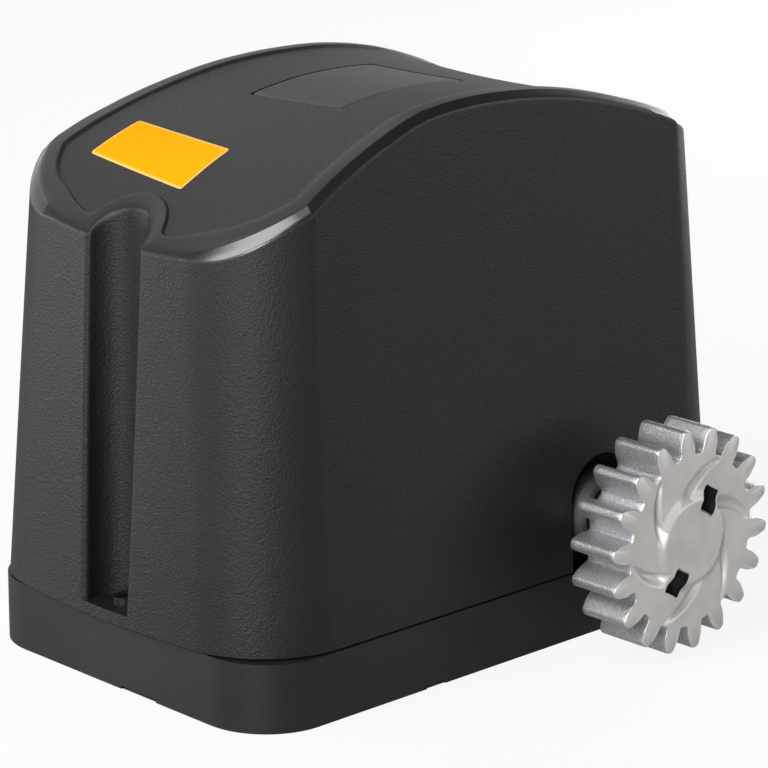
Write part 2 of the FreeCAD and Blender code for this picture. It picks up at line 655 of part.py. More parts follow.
draw_circle(sketch, size.shaft_radius, 0, 0, ("shaft_radius", "0", "0"))
pocket(pinion, sketch, "shaft_bore", "pinion_bore_depth", reverse=True)
back = "-base_width / 2 - pinion_gap"
put(pinion, TURNS["-y"], "shaft_x", back, "shaft_z")
key_low = "shaft_z + shaft_radius - key_height / 2"
key_slot = block("pinion_key_slot", "key_width", "pinion_bore_depth", "key_height / 2 + 0.7",
                 "shaft_x - key_width / 2", back + " - pinion_bore_depth", "shaft_z + shaft_radius - 0.4")
node(cut("pinion_cut", pinion, key_slot), "pinion")

run = back + " - pinion_bore_depth"
shaft_end = "housing_back + lid_thick + 6"
bar = cylinder("shaft_bar", "shaft_radius - fit", "%s - (%s)" % (shaft_end, run), "shaft_x", shaft_end, "shaft_z",
               along="-y")
collar = cylinder("shaft_collar", "collar_radius", "nose_tip - (%s) - 1.3" % back, "shaft_x", "nose_tip - 1",
                  "shaft_z", along="-y")
pinion_seat = block("shaft_pinion_slot", "key_width", "pinion_bore_depth", "key_height", "shaft_x - key_width / 2",
                    run, key_low)
wheel_seat = block("shaft_wheel_slot", "key_width", "wheel_hub_length - 4", "key_height",
                   "shaft_x - key_width / 2", "drive_y - wheel_hub_length / 2 + 2", key_low)
node(cut("shaft_cut", fuse("shaft_blank", bar, collar), pinion_seat, wheel_seat), "output_shaft")
keys = [block("pinion_key", "key_width - 0.1", "pinion_bore_depth - 0.4", "key_height - 0.2",
              "shaft_x - key_width / 2 + 0.05", run + " + 0.2", key_low + " + 0.1"),
        block("wheel_key", "key_width - 0.1", "wheel_hub_length - 4.4", "key_height - 0.2",
              "shaft_x - key_width / 2 + 0.05", "drive_y - wheel_hub_length / 2 + 2.2", key_low + " + 0.1")]
node(group("key_pair", keys), "shaft_keys")

# ---------------------------------------------------------------- worm drive
wheel_teeth = size.wheel_teeth
wheel_pitch = size.wheel_module * wheel_teeth / 2
lead_length = math.pi * size.wheel_module
wheel = new_body("wheel_body")
sketch = sketch_on(wheel, "XY_Plane", "wheel_disc_plan")
draw_circle(sketch, wheel_pitch + size.wheel_module, 0, 0,
            ("wheel_module * (wheel_teeth + 2) / 2", "0", "0"))
pad(wheel, sketch, "wheel_disc", "wheel_width")
tilt = size.wheel_width / 2 * lead_length / (2 * math.pi * size.worm_pitch_radius) / wheel_pitch
root_r, top_r = wheel_pitch - 1.3 * size.wheel_module, wheel_pitch + 1.4 * size.wheel_module
half_low, half_high = 0.22 * lead_length, 0.40 * lead_length
plans = []
for k, (level, twist) in enumerate((("0", -tilt), ("wheel_width", tilt))):
    sketch = sketch_on(wheel, "XY_Plane", "wheel_space_%d" % k, level)
    corners = []
    for radius, half in ((root_r, half_low), (root_r, -half_low), (top_r, -half_high), (top_r, half_high)):
        spot = Rotation(Vector(0, 0, 1), math.degrees(twist)).multVec(Vector(half, radius, 0))
        corners.append((spot.x, spot.y))
    draw_outline(sketch, corners)
    plans.append(sketch)
space = wheel.newObject("PartDesign::SubtractiveLoft", "wheel_space")
space.Profile = plans[0]
space.Sections = [plans[1]]
space.Ruled = True
doc.recompute()
polar(wheel, space, "wheel_spaces", "Z_Axis", "wheel_teeth")
sketch = sketch_on(wheel, "XY_Plane", "wheel_hub_plan", "(wheel_width - wheel_hub_length) / 2")
draw_circle(sketch, size.wheel_hub, 0, 0, ("wheel_hub", "0", "0"))
pad(wheel, sketch, "wheel_hub_pad", "wheel_hub_length")
sketch = sketch_on(wheel, "XY_Plane", "wheel_bore_plan", "-wheel_hub_length")
draw_circle(sketch, size.shaft_radius, 0, 0, ("shaft_radius", "0", "0"))
pocket(wheel, sketch, "wheel_bore", "3 * wheel_hub_length", reverse=True)
put(wheel, TURNS["-y"], "shaft_x", "drive_y + wheel_width / 2", "shaft_z")
hub_slot = block("hub_key_slot", "key_width", "wheel_hub_length + 2", "key_height / 2 + 0.7",
                 "shaft_x - key_width / 2", "drive_y - wheel_hub_length / 2 - 1", "shaft_z + shaft_radius - 0.4")
node(cut("wheel_cut", wheel, hub_slot), "worm_wheel")

worm_z = "shaft_z + wheel_module * wheel_teeth / 2 + worm_pitch_radius"
turns = math.floor(size.worm_length / lead_length)
worm = new_body("worm")
sketch = sketch_on(worm, "XY_Plane", "worm_core_plan", "-worm_length / 2")
root_worm = size.worm_pitch_radius - size.wheel_module - size.mesh_clearance
draw_circle(sketch, root_worm, 0, 0, ("worm_pitch_radius - wheel_module - mesh_clearance", "0", "0"))
pad(worm, sketch, "worm_core", "worm_length")
sketch = sketch_on(worm, "XZ_Plane", "worm_thread_plan")
crest = size.worm_pitch_radius + 1.2
start = -lead_length * math.floor(turns / 2)
half_root, half_crest = 0.27 * lead_length, 0.10 * lead_length
draw_outline(sketch, [(root_worm - 0.6, start - half_root), (crest, start - half_crest),
                      (crest, start + half_crest), (root_worm - 0.6, start + half_root)])
thread = worm.newObject("PartDesign::AdditiveHelix", "worm_thread")
thread.Profile = sketch
thread.ReferenceAxis = ([part for part in worm.Origin.OriginFeatures if part.Role == "Z_Axis"][0], [""])
thread.Mode = "pitch-turns-angle"
thread.setExpression("Pitch", formula("pi * wheel_module"))
thread.Turns = turns - 1 if turns % 2 else turns
thread.LeftHanded = False
doc.recompute()
put(worm, TURNS["x"], "shaft_x", "drive_y", worm_z)
rod_low = "flange_x - flange_thick - frame_length - shield_thick + 1"
rod_high = "tunnel_end - 4.4"
rod = cylinder("rotor_rod", "rotor_shaft_radius - fit", "%s - (%s)" % (rod_high, rod_low), rod_low, "drive_y",
               worm_z, along="x")
node(fuse("worm_fuse", worm, rod), "worm_shaft")

# ---------------------------------------------------------------- gearbox casting
hub_at = {"x": "shaft_x", "z": "shaft_z"}
wheel_room = "wheel_module * (wheel_teeth + 2) / 2 + 1.6"
drum_radius = "wheel_module * (wheel_teeth + 2) / 2 + 1.6 + housing_wall"
step_y = "drive_y - wheel_hub_length / 2 - 5"
drum = cylinder("drum", drum_radius, "housing_back - (%s)" % step_y, y="housing_back", along="-y", **hub_at)
front = cylinder("drum_front", "big_bearing_radius + 6", "(%s) - housing_front" % step_y, y=step_y, along="-y",
                 **hub_at)
nose = cylinder("nose", "nose_radius", "housing_front - nose_tip", y="housing_front", along="-y", **hub_at)
plate_low = "base_floor + foot_boss_height"
plate = block("foot_plate", "foot_x_high - foot_x_low + 2 * foot_pad", "foot_y_high - foot_y_low + 2 * foot_pad",
              "foot_thick", "foot_x_low - foot_pad", "foot_y_low - foot_pad", plate_low)
column = block("column", "2 * (%s) - 6" % wheel_room, "housing_back - (%s)" % step_y,
               "shaft_z - (%s)" % plate_low, "shaft_x - (%s) + 3" % wheel_room, step_y, plate_low)
bridge = block("bridge", "worm_length + 14", "2 * tunnel_radius - 2", "wheel_module * wheel_teeth / 2",
               "shaft_x - worm_length / 2 - 7", "drive_y - tunnel_radius + 1",
               "(%s) - wheel_module * wheel_teeth / 2" % worm_z)
tunnel = cylinder("tunnel", "tunnel_radius", "tunnel_end - flange_x", "flange_x", "drive_y", worm_z, along="x")
neck = cone("neck", "frame_radius - 14", "tunnel_radius", "16", "flange_x", "drive_y", worm_z, along="x")
flange = cylinder("flange", "frame_radius", "flange_thick", "flange_x - flange_thick", "drive_y", worm_z,
                  along="x")
EARS = (30, 150, 210, 330)
ear_at = [("shaft_x + (%s + 2.5) * %.6f" % (drum_radius, math.cos(math.radians(a))),
           "shaft_z + (%s + 2.5) * %.6f" % (drum_radius, math.sin(math.radians(a)))) for a in EARS]
ears = [cylinder("ear_%d" % k, "5.5", "9", x, "housing_back", z, along="-y") for k, (x, z) in enumerate(ear_at)]
ROD_SPOTS = [(y, z) for y in (-1, 1) for z in (-1, 1)]
rod_at = [("drive_y + %d * (frame_radius + 4) * 0.70711" % y, "%s + %d * (frame_radius + 4) * 0.70711" % (worm_z, z))
          for y, z in ROD_SPOTS]
lugs = [cylinder("flange_lug_%d" % k, "5", "flange_thick", "flange_x - flange_thick", y, z, along="x")
        for k, (y, z) in enumerate(rod_at)]
casting = fuse("casting", drum, front, nose, plate, column, bridge, tunnel, neck, flange, *(ears + lugs))
wheel_bay = cylinder("wheel_bay", wheel_room, "housing_back - (%s) + 1" % step_y, y="housing_back + 1",
                     along="-y", **hub_at)
bearing_bay = cylinder("bearing_bay", "big_bearing_radius", "big_bearing_width", y=step_y + " + 0.01",
                       along="-y", **hub_at)
shaft_bay = cylinder("shaft_bay", "shaft_radius + 1", "housing_back - nose_tip + 2", y="housing_back + 1",
                     along="-y", **hub_at)
seal_bay = cylinder("seal_bay", "seal_radius", "seal_width + 2", y="nose_tip + seal_width", along="-y", **hub_at)
worm_bay = cylinder("worm_bay", "worm_pitch_radius + 2.8", "tunnel_end - flange_x + flange_thick + 2",
                    "flange_x - flange_thick - 1", "drive_y", worm_z, along="x")
near_seat = cylinder("near_seat", "small_bearing_radius", "small_bearing_width + 1",
                     "flange_x - flange_thick - 1", "drive_y", worm_z, along="x")
far_low = "tunnel_end - 4 - small_bearing_width"
far_seat = cylinder("far_seat", "small_bearing_radius", "small_bearing_width + 5", far_low, "drive_y", worm_z,
                    along="x")
ear_holes = [cylinder("ear_hole_%d" % k, "1.7", "8", x, "housing_back + 1", z, along="-y")
             for k, (x, z) in enumerate(ear_at)]
rod_holes = [cylinder("rod_hole_%d" % k, "2.1", "flange_thick + 2", "flange_x - flange_thick - 1", y, z, along="x")
             for k, (y, z) in enumerate(rod_at)]
bolt_holes = [cylinder("bolt_hole_%d" % k, "foot_bolt + 0.3", "foot_thick + 2", x, y, plate_low + " - 1")
              for k, (x, y) in enumerate(FEET)]
node(cut("casting_cut", casting, wheel_bay, bearing_bay, shaft_bay, seal_bay, worm_bay, near_seat, far_seat,
         *(ear_holes + rod_holes + bolt_holes)), "gearbox_housing")

# Lid on the wheel's bay, with the rear bearing's pot and the release sleeve.
lid_disc = cylinder("lid_disc", drum_radius, "lid_thick", y="housing_back", along="y", **hub_at)
lid_ears = [cylinder("lid_ear_%d" % k, "5.5", "lid_thick", x, "housing_back", z, along="y")
            for k, (x, z) in enumerate(ear_at)]
pot_end = "housing_back + big_bearing_width + 4"
pot = cylinder("pot", "big_bearing_radius + 3.5", "big_bearing_width + 4", y="housing_back", along="y", **hub_at)
sleeve_end = "release_tip - 12"
sleeve = cylinder("sleeve", "release_sleeve", "%s - (%s)" % (sleeve_end, pot_end), y=pot_end, along="y", **hub_at)
pot_bore = cylinder("pot_bore", "big_bearing_radius", "big_bearing_width + 1", y="housing_back - 1", along="y",
                    **hub_at)
sleeve_bore = cylinder("sleeve_bore", "release_radius", "release_tip", y=pot_end + " - 1.5", along="y", **hub_at)
lid_holes = [cylinder("lid_hole_%d" % k, "2.2", "lid_thick + 2", x, "housing_back - 1", z, along="y")
             for k, (x, z) in enumerate(ear_at)]
node(cut("lid_cut", fuse("lid_fuse", lid_disc, pot, sleeve, *lid_ears), pot_bore, sleeve_bore, *lid_holes),
     "gearbox_lid")
bolts = []
for k, (x, z) in enumerate(ear_at):
    head = cylinder("lid_head_%d" % k, "3.5", "4", x, "housing_back + lid_thick", z, along="y")
    shank = cylinder("lid_shank_%d" % k, "1.65", "lid_thick + 6", x, "housing_back + lid_thick", z, along="-y")
    socket = cylinder("lid_socket_%d" % k, "1.6", "4", x, "housing_back + lid_thick + 1.8", z, along="y")
    bolts.append(cut("lid_bolt_%d" % k, fuse("lid_bolt_blank_%d" % k, head, shank), socket))
node(group("lid_bolt_set", bolts), "lid_bolts")
bolts = []
for k, (x, y) in enumerate(FEET):
    top = plate_low + " + foot_thick"
    head = cylinder("foot_head_%d" % k, "5", "4.5", x, y, top)
    shank = cylinder("foot_shank_%d" % k, "foot_bolt - 0.05", "foot_thick + foot_boss_height - 1", x, y,
                     top + " - foot_thick - foot_boss_height + 1")
    socket = cylinder("foot_socket_%d" % k, "2.4", "4", x, y, top + " + 2")
    bolts.append(cut("foot_bolt_%d" % k, fuse("foot_bolt_blank_%d" % k, head, shank), socket))
node(group("foot_bolt_set", bolts), "gearbox_bolts")


def bearing(name, outer_radius, bore_radius, width):
    """A shielded ball bearing's two rings and shields as one turned ring about its own Z."""
    body = new_body(name)
    sketch = sketch_on(body, "XZ_Plane", name + "_section")
    ring = 0.26 * (outer_radius - bore_radius)
    draw_outline(sketch, [(bore_radius, 0), (bore_radius + ring, 0), (bore_radius + ring, 0.8),
                          (outer_radius - ring, 0.8), (outer_radius - ring, 0), (outer_radius, 0),
                          (outer_radius, width), (outer_radius - ring, width), (outer_radius - ring, width - 0.8),
                          (bore_radius + ring, width - 0.8), (bore_radius + ring, width), (bore_radius, width)])
    revolve(body, sketch, name + "_ring", "Z_Axis")
    return body


shaft_bearings = [bearing("bearing_front", size.big_bearing_radius - 0.02, size.shaft_radius, size.big_bearing_width),
                  bearing("bearing_back", size.big_bearing_radius - 0.02, size.shaft_radius, size.big_bearing_width)]
put(shaft_bearings[0], TURNS["-y"], "shaft_x", step_y, "shaft_z")
put(shaft_bearings[1], TURNS["y"], "shaft_x", "housing_back", "shaft_z")
node(group("shaft_bearing_pair", shaft_bearings), "shaft_bearings")
shield_x = "flange_x - flange_thick - frame_length"
rotor_bearings = [bearing("rotor_bearing_%d" % k, size.small_bearing_radius - 0.02, size.rotor_shaft_radius,
                          size.small_bearing_width) for k in range(3)]
for body, x in zip(rotor_bearings, (shield_x + " - 2", "flange_x - flange_thick", far_low)):
    put(body, TURNS["x"], x, "drive_y", worm_z)
node(group("rotor_bearing_set", rotor_bearings), "rotor_bearings")
cap = cylinder("tunnel_cap_disc", "small_bearing_radius - 0.02", "3.6", "tunnel_end - 3.8", "drive_y", worm_z,
               along="x")
node(cap, "tunnel_cap")
ring = cylinder("seal_ring", "seal_radius - 0.02", "seal_width", y="nose_tip + seal_width", along="-y", **hub_at)
lip = cylinder("seal_bore", "shaft_radius + fit", "seal_width + 2", y="nose_tip + seal_width + 1", along="-y",
               **hub_at)
node(cut("seal_cut", ring, lip), "oil_seal")


# ---------------------------------------------------------------- motor
frame_x = "flange_x - flange_thick - frame_length"
frame = new_body("frame_body")
sketch = sketch_on(frame, "XY_Plane", "frame_plan")
for radius, link in ((size.frame_radius, "frame_radius"),
                     (size.frame_radius - size.frame_wall, "frame_radius - frame_wall")):
    draw_circle(sketch, radius, 0, 0, (link, "0", "0"))
pad(frame, sketch, "frame_tube", "frame_length")
sketch = sketch_on(frame, "XY_Plane", "frame_fin_plan", "4")
draw_box(sketch, (size.frame_radius - 1, -1.0), (size.frame_radius + size.fin_height, 1.0),
         ("frame_radius - 1", "-1", "frame_radius + fin_height", "1"))
fin = pad(frame, sketch, "frame_fin", "frame_length - 8")
polar(frame, fin, "frame_fins", "Z_Axis", "fin_count")
put(frame, TURNS["x"], frame_x, "drive_y", worm_z)
node(frame, "motor_frame")

stack_x = "%s + (frame_length - stack_length) / 2" % frame_x
stack = new_body("stack_body")
sketch = sketch_on(stack, "XY_Plane", "stack_plan")
for radius, link in ((size.frame_radius - size.frame_wall - 0.05, "frame_radius - frame_wall - 0.05"),
                     (size.rotor_radius + size.air_gap, "rotor_radius + air_gap")):
    draw_circle(sketch, radius, 0, 0, (link, "0", "0"))
pad(stack, sketch, "stack_ring", "stack_length")
sketch = sketch_on(stack, "XY_Plane", "stack_slot_plan", "stack_length")
draw_box(sketch, (size.rotor_radius + size.air_gap + 2, -3.2), (size.frame_radius - 11, 3.2),
         ("rotor_radius + air_gap + 2", "-3.2", "frame_radius - 11", "3.2"))
slot = pocket(stack, sketch, "stack_slot", "stack_length")
polar(stack, slot, "stack_slots", "Z_Axis", "stator_slots")
put(stack, TURNS["x"], stack_x, "drive_y", worm_z)
node(stack, "stator_stack")


def coil_end(name):
    """One end of the winding, a rounded ring about its own Z."""
    body = new_body(name)
    sketch = sketch_on(body, "XZ_Plane", name + "_section")
    low, high, depth = size.rotor_radius + size.air_gap + 2, size.frame_radius - 8, size.coil_length
    draw_outline(sketch, [(low, 0), (high, 0), (high, depth - 4), (high - 4, depth), (low + 3, depth),
                          (low, depth - 3)])
    revolve(body, sketch, name + "_ring", "Z_Axis")
    return body


coils = [coil_end("coil_near"), coil_end("coil_far")]
put(coils[0], TURNS["x"], "%s + stack_length" % stack_x, "drive_y", worm_z)
put(coils[1], Rotation(Vector(0, 1, 0), -90), stack_x, "drive_y", worm_z)
node(group("coil_pair", coils), "stator_windings")

core = new_body("core_body")
sketch = sketch_on(core, "XY_Plane", "core_plan")
for radius, link in ((size.rotor_radius, "rotor_radius"), (size.rotor_shaft_radius, "rotor_shaft_radius")):
    draw_circle(sketch, radius, 0, 0, (link, "0", "0"))
pad(core, sketch, "core_drum", "stack_length")
for k, (level, turned) in enumerate((("stack_length", False), ("0", True))):
    sketch = sketch_on(core, "XY_Plane", "end_ring_plan_%d" % k, level)
    draw_circle(sketch, size.rotor_radius - 1, 0, 0, ("rotor_radius - 1", "0", "0"))
    draw_circle(sketch, size.rotor_radius - 8, 0, 0, ("rotor_radius - 8", "0", "0"))
    pad(core, sketch, "end_ring_%d" % k, "4", reverse=turned)
sketch = sketch_on(core, "XY_Plane", "fan_blade_plan", "stack_length")
draw_box(sketch, (size.rotor_radius - 7, -0.8), (size.rotor_radius - 2, 0.8),
         ("rotor_radius - 7", "-0.8", "rotor_radius - 2", "0.8"))
blade = pad(core, sketch, "fan_blade", "coil_length - 2")
polar(core, blade, "fan_blades", "Z_Axis", "9")
put(core, TURNS["x"], stack_x, "drive_y", worm_z)
node(core, "rotor_core")

shield_disc = cylinder("shield_disc", "frame_radius", "shield_thick", frame_x + " - shield_thick", "drive_y", worm_z,
                       along="x")
shield_boss = cylinder("shield_boss", "small_bearing_radius + 3", "small_bearing_width + 1", frame_x + " - 3",
                       "drive_y", worm_z, along="x")
shield_lugs = [cylinder("shield_lug_%d" % k, "5", "shield_thick", frame_x + " - shield_thick", y, z, along="x")
               for k, (y, z) in enumerate(rod_at)]
shield_seat = cylinder("shield_seat", "small_bearing_radius", "small_bearing_width + 2", frame_x + " - 2",
                       "drive_y", worm_z, along="x")
shield_bore = cylinder("shield_bore", "rotor_shaft_radius + 1", "shield_thick + 2", frame_x + " - shield_thick - 1",
                       "drive_y", worm_z, along="x")
shield_holes = [cylinder("shield_hole_%d" % k, "2.1", "shield_thick + 2", frame_x + " - shield_thick - 1", y, z,
                         along="x") for k, (y, z) in enumerate(rod_at)]
node(cut("shield_cut", fuse("shield_fuse", shield_disc, shield_boss, *shield_lugs), shield_seat, shield_bore,
         *shield_holes), "end_shield")
rods = []
for k, (y, z) in enumerate(rod_at):
    low = frame_x + " - shield_thick"
    bar = cylinder("tie_bar_%d" % k, "2", "frame_length + shield_thick + flange_thick + 4", low, y, z, along="x")
    nuts = [cylinder("tie_nut_%d_%d" % (k, end), "3.6", "3", x, y, z, along="x")
            for end, x in enumerate((low + " - 3", "flange_x"))]
    rods.append(fuse("tie_rod_%d" % k, bar, *nuts))
node(group("tie_rod_set", rods), "tie_rods")

# ---------------------------------------------------------------- capacitor on the motor
can_z = "%s + frame_radius + fin_height + saddle_height + can_radius" % worm_z
can = cylinder("can", "can_radius", "can_length", "can_x", "drive_y", can_z, along="x")
can_cap = cylinder("can_cap", "can_radius - 2.5", "3", "can_x + can_length", "drive_y", can_z, along="x")
tabs = [block("can_tab_%d" % k, "7", "0.8", "6", "can_x + can_length + 2", "drive_y + %d * 6 - 0.4" % side,
              can_z + " - 3") for k, side in enumerate((-1, 1))]
node(fuse("can_fuse", can, can_cap, *tabs), "start_capacitor")
strap_x = "can_x + can_length / 2 - strap_width / 2"
saddle_block = block("saddle_block", "strap_width", "2 * can_radius - 6",
                     "saddle_height + can_radius + fin_height", strap_x, "drive_y - can_radius + 3",
                     "%s + frame_radius - 0.6" % worm_z)
saddle_low = cylinder("saddle_low", "frame_radius + fin_height + 0.02", "strap_width + 2", strap_x + " - 1",
                      "drive_y", worm_z, along="x")
saddle_high = cylinder("saddle_high", "can_radius + 0.02", "strap_width + 2", strap_x + " - 1", "drive_y", can_z,
                       along="x")
strap_ring = cylinder("strap_ring", "can_radius + strap_thick", "strap_width", strap_x, "drive_y", can_z, along="x")
node(cut("saddle_cut", fuse("saddle_fuse", saddle_block, strap_ring), saddle_low, saddle_high), "capacitor_strap")

# ---------------------------------------------------------------- control board at the back
carrier_plate = block("carrier_plate", "carrier_length", "carrier_thick", "carrier_top - base_floor",
                      "carrier_x_low", "carrier_y", "base_floor")
feet = [block("carrier_foot_%d" % k, "18", "carrier_foot", "3", x, "carrier_y + carrier_thick", "base_floor")
        for k, x in enumerate(("carrier_x_low + 22", "carrier_x_low + carrier_length - 18"))]
board_x = "carrier_x_low + (carrier_length - board_length) / 2"
board_y = "carrier_y + carrier_thick + standoff"
post_at = [(board_x + " + " + dx, "board_low + " + dz) for dx in
           ("board_hole_inset", "board_length - board_hole_inset") for dz in
           ("board_hole_inset", "board_height - board_hole_inset")]
posts = [cylinder("post_%d" % k, "3.5", "standoff", x, "carrier_y + carrier_thick", z, along="y")
         for k, (x, z) in enumerate(post_at)]
post_holes = [cylinder("post_hole_%d" % k, "1.2", "standoff + 1", x, "carrier_y + carrier_thick + 1", z, along="y")
              for k, (x, z) in enumerate(post_at)]
vents = [block("carrier_vent_%d" % k, "4", "carrier_thick + 2", "26",
               "carrier_x_low + 18 + %d * 12" % k, "carrier_y - 1", "base_floor + 14") for k in range(8)]
node(cut("carrier_cut", fuse("carrier_fuse", carrier_plate, *(feet + posts)), *(post_holes + vents)),
     "board_carrier")
board = block("board_plate", "board_length", "board_thick", "board_height", board_x, board_y, "board_low")
board_holes = [cylinder("board_hole_%d" % k, "1.6", "board_thick + 2", x, board_y + " - 1", z, along="y")
               for k, (x, z) in enumerate(post_at)]
node(cut("board_cut", board, *board_holes), "control_board")
face = board_y + " + board_thick"
bolts = []
for k, (x, z) in enumerate(post_at):
    head = cylinder("board_head_%d" % k, "2.8", "2", x, face, z, along="y")
    shank = cylinder("board_shank_%d" % k, "1.15", "board_thick + standoff - 1.2", x, face, z, along="-y")
    bolts.append(fuse("board_screw_%d" % k, head, shank))
node(group("board_screw_set", bolts), "board_screws")
relays = [block("relay_%d" % k, "relay_length", "relay_height", "relay_width",
                board_x + " + 14 + %d * (relay_length + 4)" % k, face, "board_low + board_height - relay_width - 12")
          for k in range(3)]
node(group("relay_row", relays), "relays")
terminals = []
for k in range(2):
    low = board_x + " + 8 + %d * (terminal_length + 4)" % k
    body = block("terminal_body_%d" % k, "terminal_length", "terminal_depth", "terminal_height", low, face,
                 "board_low + 1")
    wells = []
    for n in range(9):
        x = low + " + terminal_length * %.4f" % ((n + 0.5) / 9)
        wells.append(cylinder("well_%d_%d" % (k, n), "1.6", "4", x, face + " + terminal_depth - 2",
                              "board_low + 1 + terminal_height / 2", along="y"))
        wells.append(block("mouth_%d_%d" % (k, n), "3", "4", "3", x + " - 1.5", face + " + 2", "board_low"))
    terminals.append(cut("terminal_%d" % k, body, *wells))
node(group("terminal_pair", terminals), "terminal_blocks")
node(block("mains_transformer", "core_length", "core_depth", "core_height", board_x + " + board_length - core_length - 8",
           face, "board_low + terminal_height + 8"), "board_transformer")
chips = [block("chip_%d" % k, length, "2.6", height, board_x + " + " + dx, face, "board_low + " + dz)
         for k, (length, height, dx, dz) in enumerate((("22", "8", "14", "22"), ("12", "12", "44", "20"),
                                                       ("10", "6", "14", "38")))]
node(group("chip_row", chips), "board_chips")
fuses = [cylinder("fuse_%d" % k, "2.6", "20", board_x + " + 82", face + " + 3.6",
                  "board_low + board_height - 14 - %d * 10" % k, along="x") for k in range(2)]
clips = [block("fuse_clip_%d_%d" % (k, end), "4", "3.4", "6.4", board_x + " + 82 + %d * 16" % end, face,
               "board_low + board_height - 17.2 - %d * 10" % k) for k in range(2) for end in (0, 1)]
node(group("fuse_pair", [fuse("fuse_unit_%d" % k, fuses[k], clips[2 * k], clips[2 * k + 1]) for k in range(2)]),
     "fuses")

# Two tact buttons: a housing on the board and a cap that travels in it.
button_at = [board_x + " + 62", board_x + " + 62"]
button_z = ["board_low + 22", "board_low + 34"]
housings = []
for k in range(2):
    x, z = button_at[k], button_z[k]
    shell = block("button_shell_%d" % k, "button_side", "button_depth", "button_side", x + " - button_side / 2",
                  face, z + " - button_side / 2")
    well = cylinder("button_well_%d" % k, "button_cap + 0.05", "button_depth", x, face + " + 1", z, along="y")
    housings.append(cut("button_housing_%d" % k, shell, well))
node(group("button_housing_pair", housings), "button_housings")
for k, label in enumerate(("learn_button", "test_button")):
    low = face + " + 1 + button_stroke + 0.1"
    node(cylinder(label + "_cap", "button_cap", "button_depth + button_stand - 1", button_at[k], low, button_z[k],
                  along="y"), label)

# ---------------------------------------------------------------- limit sensor and release
shelf_x = "shaft_x + 8"
shelf_low = "drive_y - tunnel_radius - 24"
shelf = block("shelf", "bracket_width", "23.9", "bracket_thick", shelf_x, shelf_low, worm_z)
node(shelf, "sensor_bracket")
sensor_block = block("sensor_block", "bracket_width - 2", "10", "12", shelf_x + " + 1", shelf_low + " + 1",
                     worm_z + " + bracket_thick")
sensor_eye = cylinder("sensor_eye", "3", "3", shelf_x + " + bracket_width / 2", shelf_low + " + 1",
                      worm_z + " + bracket_thick + 6", along="-y")
node(fuse("sensor_fuse", sensor_block, sensor_eye), "limit_sensor")
spindle = cylinder("spindle", "release_radius - fit", "release_tip - (%s) + 1" % pot_end, "shaft_x",
                   pot_end + " - 1", "shaft_z", along="y")
spindle_head = cylinder("spindle_head", "release_radius + 1.5", "12 - 0.4", "shaft_x", "release_tip - 12 + 0.4",
                        "shaft_z", along="y")
hexagon = doc.addObject("Part::Prism", "release_hexagon")
hexagon.Polygon = 6
bind(hexagon, Circumradius="3.6", Height="8")
hexagon.Placement = Placement(Vector(), TURNS["y"])
place(hexagon, "shaft_x", "release_tip - 6", "shaft_z")
node(cut("spindle_cut", fuse("spindle_fuse", spindle, spindle_head), hexagon), "release_spindle")


# ---------------------------------------------------------------- write
doc.recompute()
for item in doc.Objects:
    if "Invalid" in item.State or "Error" in item.State:
        raise ValueError("%s failed: %s" % (item.Label, item.State))
os.makedirs("parts", exist_ok=True)
for item in NODES:
    shape = item.Shape
    if shape.isNull() or not shape.isValid():
        raise ValueError("bad shape: " + item.Label)
    shape.exportStep("parts/%s.step" % item.Label)
    print("%-20s solids %2d  volume %10.0f" % (item.Label, len(shape.Solids), shape.Volume))
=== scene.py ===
import json
import math

import bmesh
import bpy
import numpy as np
from mathutils import Matrix, Vector


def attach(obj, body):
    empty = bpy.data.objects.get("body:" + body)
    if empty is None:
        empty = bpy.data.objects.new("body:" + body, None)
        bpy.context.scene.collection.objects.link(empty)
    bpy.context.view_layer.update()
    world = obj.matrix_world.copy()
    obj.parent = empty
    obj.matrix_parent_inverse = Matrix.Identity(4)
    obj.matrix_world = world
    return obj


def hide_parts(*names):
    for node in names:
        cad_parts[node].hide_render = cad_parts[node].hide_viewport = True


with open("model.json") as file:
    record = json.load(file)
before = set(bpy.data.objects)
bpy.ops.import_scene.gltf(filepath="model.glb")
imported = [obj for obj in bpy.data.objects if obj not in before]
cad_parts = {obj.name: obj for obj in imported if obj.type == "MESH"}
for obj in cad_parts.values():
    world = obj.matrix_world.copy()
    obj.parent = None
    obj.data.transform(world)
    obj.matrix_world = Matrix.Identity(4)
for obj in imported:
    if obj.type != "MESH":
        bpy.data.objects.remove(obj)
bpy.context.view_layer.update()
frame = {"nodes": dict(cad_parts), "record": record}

# A sliding gate motor: a charcoal hood with an arched roof over a base tray, a cast
# pinion on the gate's side, and the drive and the control board inside. Lengths in the
# shape functions are millimetres; meshes are written in metres.
MM = 0.001


# ---------------------------------------------------------------- shader tools
class Wire:
    """A socket that takes part in arithmetic; each operation adds a Math node."""

    def __init__(self, nodes, socket):
        self.nodes, self.socket = nodes, socket

    def maths(self, operation, *values):
        return self.nodes.node("ShaderNodeMath", {"operation": operation},
                               dict(enumerate(values)))

    def __add__(self, other):
        return self.maths("ADD", self, other)

    def __sub__(self, other):
        return self.maths("SUBTRACT", self, other)

    def __rsub__(self, other):
        return self.maths("SUBTRACT", other, self)

    def __mul__(self, other):
        return self.maths("MULTIPLY", self, other)

    __radd__, __rmul__ = __add__, __mul__

    def at_most(self, limit):
        """The value, or the limit where the value is over it."""
        return self.maths("MINIMUM", self, limit)

    def step(self, low, high, start=0.0, end=1.0):
        """Smooth change from start to end as the value goes from low to high."""
        return self.nodes.node("ShaderNodeMapRange", {"interpolation_type": "SMOOTHSTEP"},
                               {"Value": self, "From Min": low, "From Max": high,
                                "To Min": start, "To Max": end})


